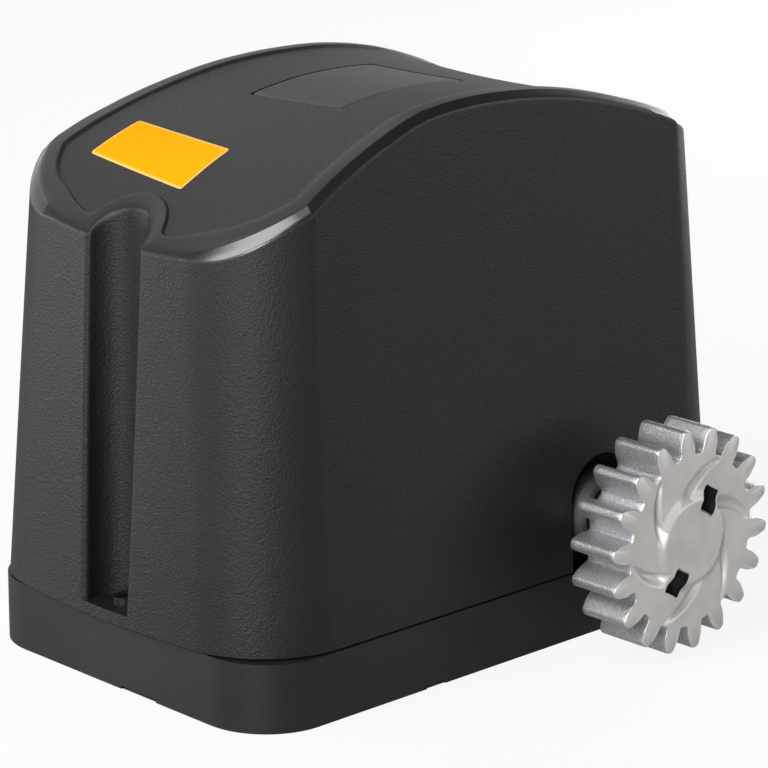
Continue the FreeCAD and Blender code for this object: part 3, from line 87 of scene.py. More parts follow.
class Nodes:
    """A node tree under construction."""

    def __init__(self, tree):
        self.tree = tree

    def put(self, value, socket):
        """Link a wire to a socket, or set the socket to a plain value."""
        if isinstance(value, Wire):
            self.tree.links.new(value.socket, socket)
        else:
            socket.default_value = value

    def node(self, kind, settings=None, sockets=None, out=0):
        """Any node by type: its settings first, then its sockets' values or links."""
        made = self.tree.nodes.new(kind)
        for key, value in (settings or {}).items():
            setattr(made, key, value)
        for key, value in (sockets or {}).items():
            self.put(value, made.inputs[key])
        return Wire(self, made.outputs[out])

    def ray(self, kind):
        """1 for rays of the kind, 0 for others."""
        return self.node("ShaderNodeLightPath", out="Is %s Ray" % kind)

    def vector(self, operation, *values, out=0):
        """A Vector Math node over vectors."""
        return self.node("ShaderNodeVectorMath", {"operation": operation},
                         dict(enumerate(values)), out)


class Finish(Nodes):
    """A material under construction: one Principled shader and the nodes that feed it."""

    def __init__(self, name, **constants):
        self.material = bpy.data.materials.new(name)
        self.material.use_nodes = True
        super().__init__(self.material.node_tree)
        self.shader = self.tree.nodes["Principled BSDF"]
        self.feed(**constants)
        self.place = self.node("ShaderNodeTexCoord", out="Object")

    def feed(self, **sockets):
        """Give the shader's sockets their values or links; _ stands for a space."""
        for socket, value in sockets.items():
            self.put(value, self.shader.inputs[socket.replace("_", " ")])

    def noise(self, scale, detail=2.0, roughness=0.5, place=None):
        """Soft noise with about scale lumps to the metre."""
        return self.node("ShaderNodeTexNoise", {},
                         {"Vector": place or self.place, "Scale": scale,
                          "Detail": detail, "Roughness": roughness})

    def cells(self, scale, place=None):
        """Distance to the nearest of points scattered about scale to the metre."""
        return self.node("ShaderNodeTexVoronoi", {},
                         {"Vector": place or self.place, "Scale": scale}, "Distance")

    def stretched(self, scale, turn=(0.0, 0.0, 0.0)):
        """Object coordinates scaled along each axis and turned."""
        return self.node("ShaderNodeMapping", {},
                         {"Vector": self.place, "Scale": scale, "Rotation": turn})

    def attribute(self, name):
        """One of the mesh's own values at its points."""
        return self.node("ShaderNodeAttribute", {"attribute_name": name}, {}, "Fac")

    def mixed(self, mask, first, second):
        """The first colour where the mask is 0, the second where it is 1."""
        return self.node("ShaderNodeMix", {"data_type": "RGBA"},
                         {0: mask, 6: first, 7: second}, 2)

    def bump(self, height, strength, distance):
        """Relief from a height value; the distance is in millimetres."""
        self.feed(Normal=self.node("ShaderNodeBump", {},
                                   {"Height": height, "Strength": strength,
                                    "Distance": distance * MM}))


def tint(red, green, blue):
    return (red, green, blue, 1.0)


def grey(level):
    return tint(level, level, level)


# ---------------------------------------------------------------- finishes
# Noise and cell scales are in lumps to the metre, and relief distances in millimetres.
def hood_plastic(name):
    """Charcoal plastic with a spark texture of fine grain, coarse grain and specks.

    The relief is their weighted sum, fading out where the polish attribute rises; the
    gloss attribute brings a thin coat.
    """
    made = Finish(name, Specular_IOR_Level=0.34, Coat_Roughness=0.17, Coat_IOR=1.6)
    polish, gloss = made.attribute("polish"), made.attribute("gloss")
    fine, coarse = made.noise(1500.0, 3.0, 0.62), made.noise(520.0)
    cloud, speck = made.noise(14.0, 3.0, 0.6), made.cells(1150.0)
    grain = (fine * 0.6 + coarse * 0.3 + speck * 0.5) * (1.0 - polish * 0.93)
    dark, light = tint(0.0085, 0.0085, 0.0092), tint(0.012, 0.012, 0.013)
    tone = made.mixed(cloud.step(0.35, 0.7), dark, light)
    tone = made.mixed(fine.step(0.52, 0.78) * (1.0 - polish), tone, tint(0.021, 0.021, 0.0225))
    tone = made.mixed(gloss, tone, tint(0.0055, 0.0055, 0.006))
    rough = 0.50 - polish * 0.1 - gloss * 0.12 + (cloud - 0.5) * 0.08
    made.feed(Base_Color=tone, Roughness=rough, Coat_Weight=gloss)
    made.bump(grain, 0.7, 0.28)
    return made.material


def moulded(name, light, dark, rough, scale, depth, specular=0.4):
    """Moulded plastic: two close tones in soft clouds, and a fine grain of the scale."""
    made = Finish(name, Specular_IOR_Level=specular)
    cloud, fine = made.noise(22.0, 3.0, 0.55), made.noise(scale, 3.0, 0.6)
    made.feed(Base_Color=made.mixed(cloud.step(0.3, 0.7), dark, light),
              Roughness=rough + (fine - 0.5) * 0.12)
    made.bump(fine, 0.5, depth)
    return made.material


def cast(name, light, dark, rough, scale, depth):
    """Cast metal: a granular skin with darker pits and soft stains."""
    made = Finish(name, Metallic=1.0)
    grain, pits = made.noise(scale, 4.0, 0.7), made.cells(scale * 0.8)
    stain = made.noise(45.0, 3.0, 0.6)
    tone = made.mixed(stain.step(0.3, 0.75), light, dark)
    tone = made.mixed(grain.step(0.28, 0.46, 1.0, 0.0) * 0.45, tone, dark)
    made.feed(Base_Color=tone, Roughness=rough + (grain - 0.5) * 0.25)
    made.bump(grain + pits * 0.6, 0.7, depth)
    return made.material


def turned(name, light, dark, rough, across):
    """Turned or ground metal: noise squeezed across one axis draws fine lines."""
    made = Finish(name, Metallic=1.0)
    squeeze = tuple(2600.0 if axis == across else 60.0 for axis in "XYZ")
    lines = made.noise(1.0, 2.0, 0.6, made.stretched(squeeze))
    smear = made.noise(60.0)
    made.feed(Base_Color=made.mixed(smear.step(0.3, 0.7), light, dark),
              Roughness=rough + (lines - 0.5) * 0.2)
    made.bump(lines, 0.3, 0.03)
    return made.material


def plated(name, light, dark, rough):
    """Zinc plate: a pale skin with small crystals and faint stains."""
    made = Finish(name, Metallic=1.0)
    crystal, stain = made.cells(420.0), made.noise(80.0, 3.0, 0.6)
    made.feed(Base_Color=made.mixed(stain.step(0.35, 0.65), light, dark),
              Roughness=rough + (crystal - 0.4) * 0.15)
    made.bump(crystal, 0.25, 0.05)
    return made.material


def laminated(name, light, dark, pitch):
    """Stacked sheet steel: a wave across X with dark joints at the pitch in millimetres."""
    made = Finish(name, Metallic=1.0)
    band = made.node("ShaderNodeTexWave", {"bands_direction": "X"},
                     {"Vector": made.place, "Scale": 0.314 / pitch,
                      "Distortion": 0.4, "Detail": 2.0})
    oil = made.noise(70.0, 3.0, 0.6)
    made.feed(Base_Color=made.mixed(band.step(0.1, 0.5), dark, light),
              Roughness=0.38 + oil * 0.2)
    made.bump(band, 0.5, 0.08)
    return made.material


def wound(name, light, dark):
    """Varnished copper wire laid in turns: long cells with dark gaps, on a soft lay."""
    made = Finish(name, Metallic=0.85, Coat_Roughness=0.25)
    wires = made.cells(900.0, made.stretched((0.35, 1.0, 1.0)))
    lay = made.noise(180.0)
    made.feed(Base_Color=made.mixed(wires.step(0.2, 0.7), light, dark),
              Roughness=0.3 + lay * 0.2)
    made.bump(lay - wires, 0.8, 0.35)
    return made.material


def board_resist(name):
    """Circuit board: green resist over a brick pattern of tracks, with tinned pads."""
    made = Finish(name, Specular_IOR_Level=0.5)
    upright = made.stretched((1.0, 1.0, 1.0), (math.pi / 2, 0.0, 0.0))
    tracks = made.node("ShaderNodeTexBrick", {"offset": 0.5, "squash": 1.6},
                       {"Vector": upright, "Scale": 85.0, "Mortar Size": 0.055,
                        "Mortar Smooth": 0.4}, "Fac")
    pads = made.cells(260.0).step(0.16, 0.2, 1.0, 0.0)
    tone = made.mixed(tracks, tint(0.008, 0.105, 0.045), tint(0.02, 0.21, 0.09))
    made.feed(Base_Color=made.mixed(pads, tone, tint(0.62, 0.6, 0.55)),
              Roughness=0.32 - pads * 0.06)
    made.bump(tracks + pads, 0.4, 0.05)
    return made.material


def pinion_metal(name):
    """Cast alloy pinion: granular silvery flanks, a duller and warmer front face where
    the face attribute is 1, and near-black painted shade inside the pockets, where skin is 0.
    """
    made = Finish(name)
    face, skin = made.attribute("face"), made.attribute("skin")
    grain, lumps = made.noise(1900.0, 4.0, 0.72), made.noise(420.0)
    pits, stain = made.cells(1500.0), made.noise(60.0, 3.0, 0.55)
    flank = made.mixed(grain.step(0.30, 0.66), tint(0.40, 0.405, 0.41), tint(0.80, 0.81, 0.83))
    front = made.mixed(stain.step(0.3, 0.72), tint(0.88, 0.845, 0.82), tint(0.76, 0.725, 0.70))
    front = made.mixed(grain.step(0.3, 0.45, 1.0, 0.0) * 0.25, front, tint(0.50, 0.47, 0.455))
    # Near black where skin is 0, on the pockets' cut walls: painted shade.
    tone = made.mixed(skin, tint(0.05, 0.05, 0.052), made.mixed(face, flank, front))
    made.feed(Base_Color=tone, Metallic=0.9 - face * 0.4,
              Roughness=0.42 + face * 0.12 + (grain - 0.5) * 0.2)
    made.bump((grain * 0.8 + lumps * 0.3 + pits * 0.5) * (1.0 - face * 0.75), 0.7, 0.2)
    return made.material


def label_film(name):
    """Plain orange film with a thin lighter border; nothing is printed on it."""
    made = Finish(name, Specular_IOR_Level=0.03)
    wear = made.noise(300.0)
    tone = made.mixed(wear.step(0.3, 0.7), tint(0.86, 0.40, 0.0), tint(0.83, 0.385, 0.0))
    made.feed(Base_Color=made.mixed(made.attribute("edge"), tone, tint(0.90, 0.52, 0.14)),
              Roughness=0.55 + wear * 0.08)
    made.bump(wear, 0.1, 0.02)
    return made.material


SLOTS = {
    "hood_plastic": (hood_plastic, {}),
    "tray_plastic": (moulded, dict(light=tint(0.016, 0.016, 0.0165), dark=tint(0.01, 0.01, 0.0105),
                                   rough=0.5, scale=900.0, depth=0.12)),
    "black_rubber": (moulded, dict(light=tint(0.02, 0.02, 0.02), dark=tint(0.012, 0.012, 0.0125),
                                   rough=0.75, scale=500.0, depth=0.1, specular=0.2)),
    "badge_plastic": (moulded, dict(light=tint(0.022, 0.024, 0.028), dark=tint(0.018, 0.020, 0.023),
                                    rough=0.42, scale=700.0, depth=0.02, specular=0.3)),
    "label_film": (label_film, {}),
    "dark_steel": (turned, dict(light=grey(0.05), dark=grey(0.025), rough=0.5, across="Z")),
    "cast_alloy": (pinion_metal, {}),
    "ground_steel": (turned, dict(light=grey(0.62), dark=grey(0.45), rough=0.26, across="Y")),
    "gear_bronze": (turned, dict(light=tint(0.68, 0.43, 0.17), dark=tint(0.48, 0.28, 0.10),
                                 rough=0.3, across="Y")),
    # These greys are darker than the bare metal's: painted shade for the drive's castings, seen in
    # the dark window behind the pinion.
    "cast_aluminium": (cast, dict(light=grey(0.26), dark=grey(0.15), rough=0.55, scale=900.0,
                                  depth=0.15)),
    "plated_steel": (plated, dict(light=tint(0.74, 0.71, 0.60), dark=tint(0.60, 0.56, 0.42),
                                  rough=0.3)),
    "motor_paint": (moulded, dict(light=tint(0.15, 0.17, 0.19), dark=tint(0.10, 0.115, 0.13),
                                  rough=0.4, scale=600.0, depth=0.08)),
    "lamination_steel": (laminated, dict(light=grey(0.45), dark=grey(0.12), pitch=0.7)),
    "enamelled_copper": (wound, dict(light=tint(0.62, 0.24, 0.09), dark=tint(0.20, 0.06, 0.02))),
    "capacitor_can": (moulded, dict(light=tint(0.72, 0.72, 0.69), dark=tint(0.62, 0.62, 0.60),
                                    rough=0.35, scale=400.0, depth=0.03)),
    "carrier_plastic": (moulded, dict(light=tint(0.11, 0.11, 0.115), dark=tint(0.08, 0.08, 0.085),
                                      rough=0.5, scale=800.0, depth=0.1)),
    "board_laminate": (board_resist, {}),
    "relay_plastic": (moulded, dict(light=tint(0.02, 0.07, 0.28), dark=tint(0.015, 0.05, 0.2),
                                    rough=0.3, scale=500.0, depth=0.03)),
    "terminal_plastic": (moulded, dict(light=tint(0.03, 0.33, 0.12), dark=tint(0.02, 0.24, 0.09),
                                       rough=0.35, scale=500.0, depth=0.04)),
    "transformer_core": (laminated, dict(light=tint(0.45, 0.36, 0.10), dark=tint(0.16, 0.12, 0.03),
                                         pitch=1.1)),
    "chip_plastic": (moulded, dict(light=tint(0.007, 0.007, 0.0075), rough=0.45, scale=900.0,
                                   dark=tint(0.012, 0.012, 0.0125), depth=0.03)),
    "fuse_body": (moulded, dict(light=tint(0.70, 0.70, 0.66), dark=tint(0.55, 0.55, 0.52),
                                rough=0.15, scale=300.0, depth=0.02, specular=0.5)),
    "button_plastic": (moulded, dict(light=tint(0.55, 0.03, 0.02), dark=tint(0.42, 0.02, 0.015),
                                     rough=0.4, scale=600.0, depth=0.04)),
}
FINISHES = {slot: maker(slot, **look) for slot, (maker, look) in SLOTS.items()}


# ---------------------------------------------------------------- meshes
CREASE = 35.0


def placed(name, data):
    """A new object at the origin, in the scene."""
    made = bpy.data.objects.new(name, data)
    bpy.context.scene.collection.objects.link(made)
    return made


def close_up(mesh, weld):
    """Merge points that meet, where weld is true, and turn every face outwards."""
    work = bmesh.new()
    work.from_mesh(mesh)
    if weld:
        bmesh.ops.remove_doubles(work, verts=work.verts, dist=2e-6)
        bmesh.ops.dissolve_degenerate(work, dist=1e-7, edges=work.edges)
    bmesh.ops.recalc_face_normals(work, faces=work.faces)
    work.to_mesh(mesh)
    work.free()


def surface(name, grids):
    """A smooth mesh from grids of points in millimetres, each (points, closed round, marks).

    Neighbouring grid points make quads; marks become attributes of the points.
    """
    verts, faces, marks, first = [], [], {}, 0
    for points, closed, values in grids:
        rows, columns = points.shape[:2]
        index = np.arange(rows * columns).reshape(rows, columns) + first
        across = np.roll(index, -1, axis=1) if closed else index[:, 1:]
        here = index if closed else index[:, :-1]
        quads = np.stack([here[:-1], across[:-1], across[1:], here[1:]], -1)
        faces.append(quads.reshape(-1, 4))
        verts.append(points.reshape(-1, 3))
        for key, value in values.items():
            spread = np.broadcast_to(value, points.shape[:2])
            marks.setdefault(key, []).append(spread.ravel())
        first += rows * columns
    mesh = bpy.data.meshes.new(name)
    mesh.from_pydata((np.concatenate(verts) * MM).tolist(), [], np.concatenate(faces).tolist())
    for key, lists in marks.items():
        values = np.concatenate(lists).astype(np.float32)
        mesh.attributes.new(key, "FLOAT", "POINT").data.foreach_set("value", values)
    close_up(mesh, weld=True)
    mesh.shade_smooth()
    return mesh


def piece(name, grids, body, slot, node, crease=CREASE):
    """A finished surface that rides on a body and stands for a node. Edges that bend by
    more than the crease angle stay sharp.
    """
    mesh = surface(name, grids)
    mesh.set_sharp_from_angle(angle=math.radians(crease))
    mesh.materials.append(FINISHES[slot])
    made = placed(name, mesh)
    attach(made, body)
    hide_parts(node)
    return made


def prism(name, outline, low, high):
    """A closed cutter: an outline in X and Z, in millimetres, carried from low to high
    along Y.
    """
    ends = [np.insert(outline, 1, level, axis=1) for level in (low, high)]
    count = len(outline)
    sides = [[k, (k + 1) % count, count + (k + 1) % count, count + k] for k in range(count)]
    caps = [list(range(count)), list(range(2 * count - 1, count - 1, -1))]
    mesh = bpy.data.meshes.new(name)
    mesh.from_pydata((np.concatenate(ends) * MM).tolist(), [], sides + caps)
    close_up(mesh, weld=False)
    return placed(name, mesh)


def carve(target, *cutters):
    """Cut closed meshes out of a piece, then set its sharp edges again."""
    for cutter in cutters:
        cut = target.modifiers.new("carve", "BOOLEAN")
        cut.operation, cut.solver, cut.object = "DIFFERENCE", "EXACT", cutter
    bpy.context.view_layer.update()
    carved = target.evaluated_get(bpy.context.evaluated_depsgraph_get())
    mesh = bpy.data.meshes.new_from_object(carved)
    target.modifiers.clear()
    target.data = mesh
    mesh.set_sharp_from_angle(angle=math.radians(CREASE))
    for cutter in cutters:
        bpy.data.objects.remove(cutter)


def ease(value, low, high):
    """Smooth step from 0 to 1 between low and high: 3 s^2 - 2 s^3 of the share s."""
    share = np.clip((value - low) / (high - low), 0.0, 1.0)
    return share * share * (3.0 - 2.0 * share)


def stacked(x, y, z):
    """Points from arrays of coordinates; z may be one value for many."""
    return np.stack([x, y, np.broadcast_to(z, x.shape)], -1)


# ---------------------------------------------------------------- hood
HALF_LENGTH, HALF_WIDTH, SEAT = 119.0, 74.0, 24.3
OVERHANG, BOW, CORNER, CORNER_GROWTH, TIGHTER = 4.6, 300.0, 36.0, 0.041, 7.5
SIDE_LEAN, CORNER_LEAN = 0.061, 0.040
END_LEAN = {1: 0.069, -1: 0.051}
GROOVE_X, GROOVE_LOW, GROOVE_HIGH, GROOVE_FLOOR, GROOVE_TALL = 117.5, 11.0, 13.6, 28.9, 173.3
LIP, FOLD, FOLD_GROWTH, FOLD_LEVEL = 2.0, 7.0, 0.07, 172.0
CROWN_X, CROWN_Z, FRONT_ARCH, REAR_ARCH = -3.5, 197.3, 178.0, 225.0
WALL, BEVEL, END_BEVEL, GROOVE_BEVEL, PANEL, RIM_RISE = 3.0, 2.8, 1.2, 0.5, -0.65, 0.30
END_FROM, NARROW_END, NARROW_GROOVE, DULL_MIDDLE = 70.0, (50.0, 32.0), (46.0, 14.0), (42.0, 24.0)
COLLAR, SHARP_FOLD, SHARP_LIP = 0.42, 1.0, 0.6

# How many columns each part of the plan has, and where along X the part's columns end
# on the roof's centre line.
SPOTS = {"groove": 14, "lip": 9, "end": 20, "corner": 26, "fold": 9, "side": 110}
SPINE = {"groove": (88.0, 86.0), "lip": (86.0, 85.6), "end": (85.6, 78.0),
         "corner": (78.0, 68.0), "fold": (68.0, 66.0), "side": (66.0, -66.0)}


def end_hub(z, sign, inset):
    """The centre, along X, of the bow of an end wall that leans inwards with height."""
    return HALF_LENGTH + OVERHANG - END_LEAN[sign] * (z - SEAT) - inset - (BOW - inset)


def end_plan(z, sign, side, part, t, inset, lip, fold):
    """One part of the plan of an end, at t from 0 to 1 along it, in its own outward x.

    The end wall is an arc of the bow's radius. A smaller arc, the corner, touches it from
    inside and meets the straight side face in a small fold arc. The groove is a circle
    round GROOVE_X, and a lip arc touches both it and the end wall.
    """
    rise = z - SEAT
    half = HALF_WIDTH - SIDE_LEAN * rise - inset
    wide = HALF_WIDTH - CORNER_LEAN * rise - inset
    tighter = TIGHTER if sign < 0 < side else 0.0
    corner = CORNER + CORNER_GROWTH * rise - tighter - inset
    bow, hub = BOW - inset, end_hub(z, sign, inset)
    reach = np.sqrt((bow - corner) ** 2 - (wide - corner) ** 2)
    hub_y = wide - corner
    groove = GROOVE_LOW + (GROOVE_HIGH - GROOVE_LOW) * (z - GROOVE_FLOOR) / GROOVE_TALL + inset
    apart = GROOVE_X - hub
    lip_x = hub + (apart ** 2 + (bow - lip) ** 2 - (groove + lip) ** 2) / (2 * apart)
    lip_y = np.sqrt(np.maximum((bow - lip) ** 2 - (lip_x - hub) ** 2, 0.0))
    if part == "groove":
        angle = math.pi + (np.arctan2(lip_y, lip_x - GROOVE_X) - math.pi) * t
        return GROOVE_X + groove * np.cos(angle), groove * np.sin(angle)
    meet = np.arctan2(lip_y, lip_x - hub)
    if part == "lip":
        start = np.arctan2(-lip_y, GROOVE_X - lip_x)
        angle = start + (meet - start) * t
        return lip_x + lip * np.cos(angle), lip_y + lip * np.sin(angle)
    touch = np.arctan2(hub_y, reach)
    if part == "end":
        angle = meet + (touch - meet) * t
        return hub + bow * np.cos(angle), bow * np.sin(angle)
    fold_y = half - fold
    across = np.sqrt(np.maximum((corner - fold) ** 2 - (fold_y - hub_y) ** 2, 0.0))
    fold_x = hub + reach + across
    last = np.arctan2(fold_y - hub_y, fold_x - hub - reach)
    if part == "corner":
        angle = touch + (last - touch) * t
        return hub + reach + corner * np.cos(angle), hub_y + corner * np.sin(angle)
    if part == "fold":
        angle = last + (math.pi / 2 - last) * t
        return fold_x + fold * np.cos(angle), fold_y + fold * np.sin(angle)
    return fold_x, half


def plan_columns():
    """The parts of the plan in order round the hood, each as (first column, sign of X,
    side of Y, part, t), and the number of columns. They go from the groove at +X by the
    +Y side to the groove at -X, and back by the -Y side.
    """
    order = ["groove", "lip", "end", "corner", "fold"]
    made, spot = [], 0
    for side in (1, -1):
        walk = [(side, part, False) for part in order + ["side"]]
        walk += [(-side, part, True) for part in order[::-1]]
        for sign, part, back in walk:
            t = np.arange(SPOTS[part]) / SPOTS[part]
            made.append((spot, sign, side, part, 1.0 - t if back else t))
            spot += len(t)
    return made, spot


PARTS, COLUMNS = plan_columns()


def hood_plan(z, inset, lip=LIP, fold=None, closed_groove=False):
    """Plan of the hood for every column at the heights z: arrays of x and y.

    A closed groove has its columns spread along the end wall's bow instead. The fold arc
    grows downwards unless its radius is given.
    """
    z = np.broadcast_to(z, (np.shape(z)[0], COLUMNS))
    inset = np.broadcast_to(inset, z.shape)
    if fold is None:
        fold = FOLD + FOLD_GROWTH * np.clip(FOLD_LEVEL - z, 0.0, 200.0)
    fold = np.broadcast_to(fold, z.shape)
    xs, ys = [], []
    for spot, sign, side, part, t in PARTS:
        at = slice(spot, spot + len(t))
        level, deep, soft = z[:, at], inset[:, at], fold[:, at]
        x, y = end_plan(level, sign, side, part, t, deep, lip, soft)
        if part == "side":
            x = x * (1 - t) - end_plan(level, -sign, side, part, t, deep, lip, soft)[0] * t
        elif closed_groove and part in ("groove", "lip"):
            edge = end_plan(level, sign, side, "end", 0.0, deep, lip, soft)[1]
            y = edge * ((t if part == "groove" else 1.0 + 0.3 * t) / 1.3)
            x = end_hub(level, sign, deep) + np.sqrt((BOW - deep) ** 2 - y ** 2)
        xs.append(x * sign)
        ys.append(y * side)
    return np.concatenate(xs, 1), np.concatenate(ys, 1)


def arch(x):
    """Height of the roof's two arcs, which meet at the crown."""
    radius = np.where(x < CROWN_X, FRONT_ARCH, REAR_ARCH)
    return CROWN_Z - radius + np.sqrt(np.maximum(radius ** 2 - (x - CROWN_X) ** 2, 0.0))


# How far each edge of the roof stands over the arch, by places along X.
SAG_X = np.array([-125, -90, -78, -68, -56, -45, -36, -24, -8, 10, 30, 45, 60, 80, 125.0])
SAG_NEAR = np.array([-4.0, -3.8, -2.6, -1.7, -0.6, 0.6, 1.1, 0.7, 0.1, -0.4, -0.7, -0.8,
                     -0.8, -0.3, 0.0])
SAG_FAR = np.array([-1.0, 0.8, -0.6, -1.9, -2.9, -3.5, -3.7, -3.6, -3.3, -2.4, -0.9, 0.0,
                    0.8, 1.2, 0.5])
SAG_Y, SUNK = 62.0, 2.4


def roof(x, y):
    """Roof height: the arch, plus the sags of its two edges blended across Y, less a
    parabola across Y that sinks the middle.
    """
    share = np.clip((y + SAG_Y) / (2 * SAG_Y), 0.0, 1.0)
    near, far = np.interp(x, SAG_X, SAG_NEAR), np.interp(x, SAG_X, SAG_FAR)
    middle = 4.0 * share * (1.0 - share) * (0.5 * (near + far) + SUNK)
    return arch(x) + near * (1 - share) + far * share - middle


def edge_height(inset, **plan):
    """Height at which the leaning wall meets the roof, for every column: the roof's
    height over the plan at the last height, taken again until it settles.
    """
    z = np.full((1, COLUMNS), 170.0)
    for _ in range(8):
        z = roof(*hood_plan(z, inset, **plan))
    return z


def rim_profile(depth):
    """Rise of the roof by its distance from the wall: up to a flat rim band, then down
    over a rounded lip to the textured panel.
    """
    return RIM_RISE * ease(depth, 3.0, 8.0) + (PANEL - RIM_RISE) * ease(depth, 8.4, 10.6)


def spine():
    """Where each column ends on the roof's centre line, in the same order along X."""
    ends = [(sign, *SPINE[part], t) for _, sign, _, part, t in PARTS]
    return np.concatenate([sign * (a + (b - a) * t) for sign, a, b, t in ends])


def within(y, outer, inner):
    """1 up to inner from the centre line, easing to 0 at outer."""
    return 1.0 - ease(np.abs(y), inner, outer)


# Rows of the hood's bevel and rim, with their marks of polish and gloss. The bevel's
# foot is given by rise and inset, its top by share of the bevel and softening, and the
# rim by distance from the wall.
BEVEL_FOOT = np.array([(-1.0, 0.0, 0.0, 0.0), (-0.45, 0.0, 0.4, 0.3), (-0.12, 0.03, 1.0, 0.9),
                       (0.35, 0.16, 1.0, 1.0)])
BEVEL_TOP = np.array([(0.5, 0.0, 1.0, 1.0), (0.93, 0.04, 1.0, 1.0), (1.0, 0.10, 1.0, 0.9),
                      (1.08, 0.08, 1.0, 0.5), (1.22, 0.0, 1.0, 0.15)])
RIM = np.array([(4.6, 0.9), (6.0, 0.8), (7.4, 0.8), (8.2, 0.8), (8.6, 0.8), (9.0, 0.7),
                (9.4, 0.5), (9.8, 0.3), (10.3, 0.15), (10.8, 0.0), (11.6, 0.0), (13.0, 0.0)])


def roof_fan(ring, fan, drop):
    """Rows from a ring of roof points in to the spine, at the shares of the way in fan."""
    x = ring[:, 0] + (spine() - ring[:, 0]) * fan
    y = ring[:, 1] * (1.0 - fan)
    return np.stack([x, y, roof(x, y) + drop], -1)


def hood():
    """The hood's skin, outside from its foot up the leaning walls, over the bevel and the
    rim band to the spine of the sunken panel, and inside a plain wall and ceiling.

    The bevel is narrow on the end walls and round the grooves, and so is the rim band
    round the grooves, its collar.
    """
    top = edge_height(0.0, fold=SHARP_FOLD)
    x_top, y_top = hood_plan(top, 0.0, fold=SHARP_FOLD)
    at_ends = np.abs(x_top) > END_FROM
    by_groove = within(y_top, *NARROW_GROOVE) * at_ends
    leg = BEVEL - (BEVEL - END_BEVEL) * within(y_top, *NARROW_END) * at_ends
    leg = leg - GROOVE_BEVEL * by_groove
    collar = 1.0 - COLLAR * by_groove

    foot_z = np.array([SEAT, 24.9, 28.0, GROOVE_FLOOR])[:, None]
    foot_in = np.array([0.5, 0.0, 0.0, 0.0])[:, None]
    foot = stacked(*hood_plan(foot_z, foot_in, closed_groove=True), foot_z)
    climb = np.linspace(0.0, 1.0, 26)[:, None]
    wall_z = GROOVE_FLOOR + (top - leg - 1.0 - GROOVE_FLOOR) * climb
    rows = [foot, stacked(*hood_plan(wall_z, 0.0), wall_z)]
    for rise, inward in BEVEL_FOOT[:, :2]:
        z = top - leg + rise
        rows.append(stacked(*hood_plan(z, inward, fold=SHARP_FOLD), z))
    for share, soft in BEVEL_TOP[:, :2]:
        x, y = hood_plan(top, leg * share, fold=SHARP_FOLD, lip=SHARP_LIP)
        rows.append(stacked(x, y, roof(x, y) - leg * max(1.0 - share, 0.0) - soft))
    for depth in RIM[:, 0]:
        lip = SHARP_LIP + 3.4 * ease(depth, 2.0, 9.0)
        x, y = hood_plan(top, depth * collar, fold=0.6, lip=lip)
        rows.append(stacked(x, y, roof(x, y) + rim_profile(depth)))
    fan = np.linspace(0.0, 1.0, 18)[1:, None] ** 0.9
    rows.append(roof_fan(rows[-1][0], fan, PANEL))
    outside = np.concatenate(rows)

    below, beyond = np.zeros(len(foot) + len(climb)), np.zeros(len(fan))
    polish = np.concatenate([below, BEVEL_FOOT[:, 2], BEVEL_TOP[:, 2], RIM[:, 1], beyond])
    gloss = np.concatenate([below, BEVEL_FOOT[:, 3], BEVEL_TOP[:, 3], 0.0 * RIM[:, 1], beyond])
    round_corner = [np.full(len(t), 1.0 if part in ("corner", "fold") else 0.12)
                    for _, _, _, part, t in PARTS]
    gloss = gloss[:, None] * np.concatenate(round_corner)
    gloss = gloss * (1.0 - within(y_top[0], *DULL_MIDDLE))

    inner_top = edge_height(WALL) - WALL
    inner_z = SEAT + (inner_top - SEAT) * np.linspace(0.0, 1.0, 14)[:, None]
    inner_wall = stacked(*hood_plan(inner_z, WALL), inner_z)
    ring = stacked(*hood_plan(inner_top, 10.0, lip=SHARP_LIP, fold=0.6), 0.0)[0]
    ceiling = roof_fan(ring, np.linspace(0.0, 1.0, 10)[:, None], -WALL - 1.0)
    inside = np.concatenate([foot[:1], inner_wall, ceiling])
    grids = [(outside, True, {"polish": polish[:, None], "gloss": gloss}),
             (inside, True, {"polish": 0.0, "gloss": 0.0})]
    return piece("hood", grids, "cover", "hood_plastic", "cover_shell", 28.0)


cover = hood()

# ---------------------------------------------------------------- cuts in the hood
SHAFT_X, SHAFT_Z = 43.5, 42.5
SLOT_R, SLOT_RISE, SLOT_FOOT, KEY_R = 16.0, 6.0, 10.0, 11.0
BADGE_AT, BADGE_HALF, BADGE_THICK, BADGE_SUNK = (-11.0, -4.0), (28.5, 23.0), 0.75, 0.9
BADGE_GAP = 0.35
LABEL_AT, LABEL_HALF, LABEL_THICK, LABEL_SUNK = (-82.5, 16.5), (10.25, 25.0), 0.25, 0.02
LABEL_TURN, LABEL_BORDER = math.radians(-3.5), 0.7


def shaft_slot():
    """Outline of the shaft's slot: a half circle over straight sides, open downwards."""
    turn = np.linspace(0.0, math.pi, 33)
    x, z = SHAFT_X + SLOT_R * np.cos(turn), SHAFT_Z + SLOT_RISE + SLOT_R * np.sin(turn)
    return np.concatenate([[[SHAFT_X + SLOT_R, SLOT_FOOT]], np.stack([x, z], -1),
                           [[SHAFT_X - SLOT_R, SLOT_FOOT]]])


def key_hole():
    """Outline of the key's hole: a circle round the shaft's line."""
    turn = np.linspace(0.0, 2 * math.pi, 40, endpoint=False)
    return np.stack([SHAFT_X + KEY_R * np.cos(turn), SHAFT_Z + KEY_R * np.sin(turn)], -1)


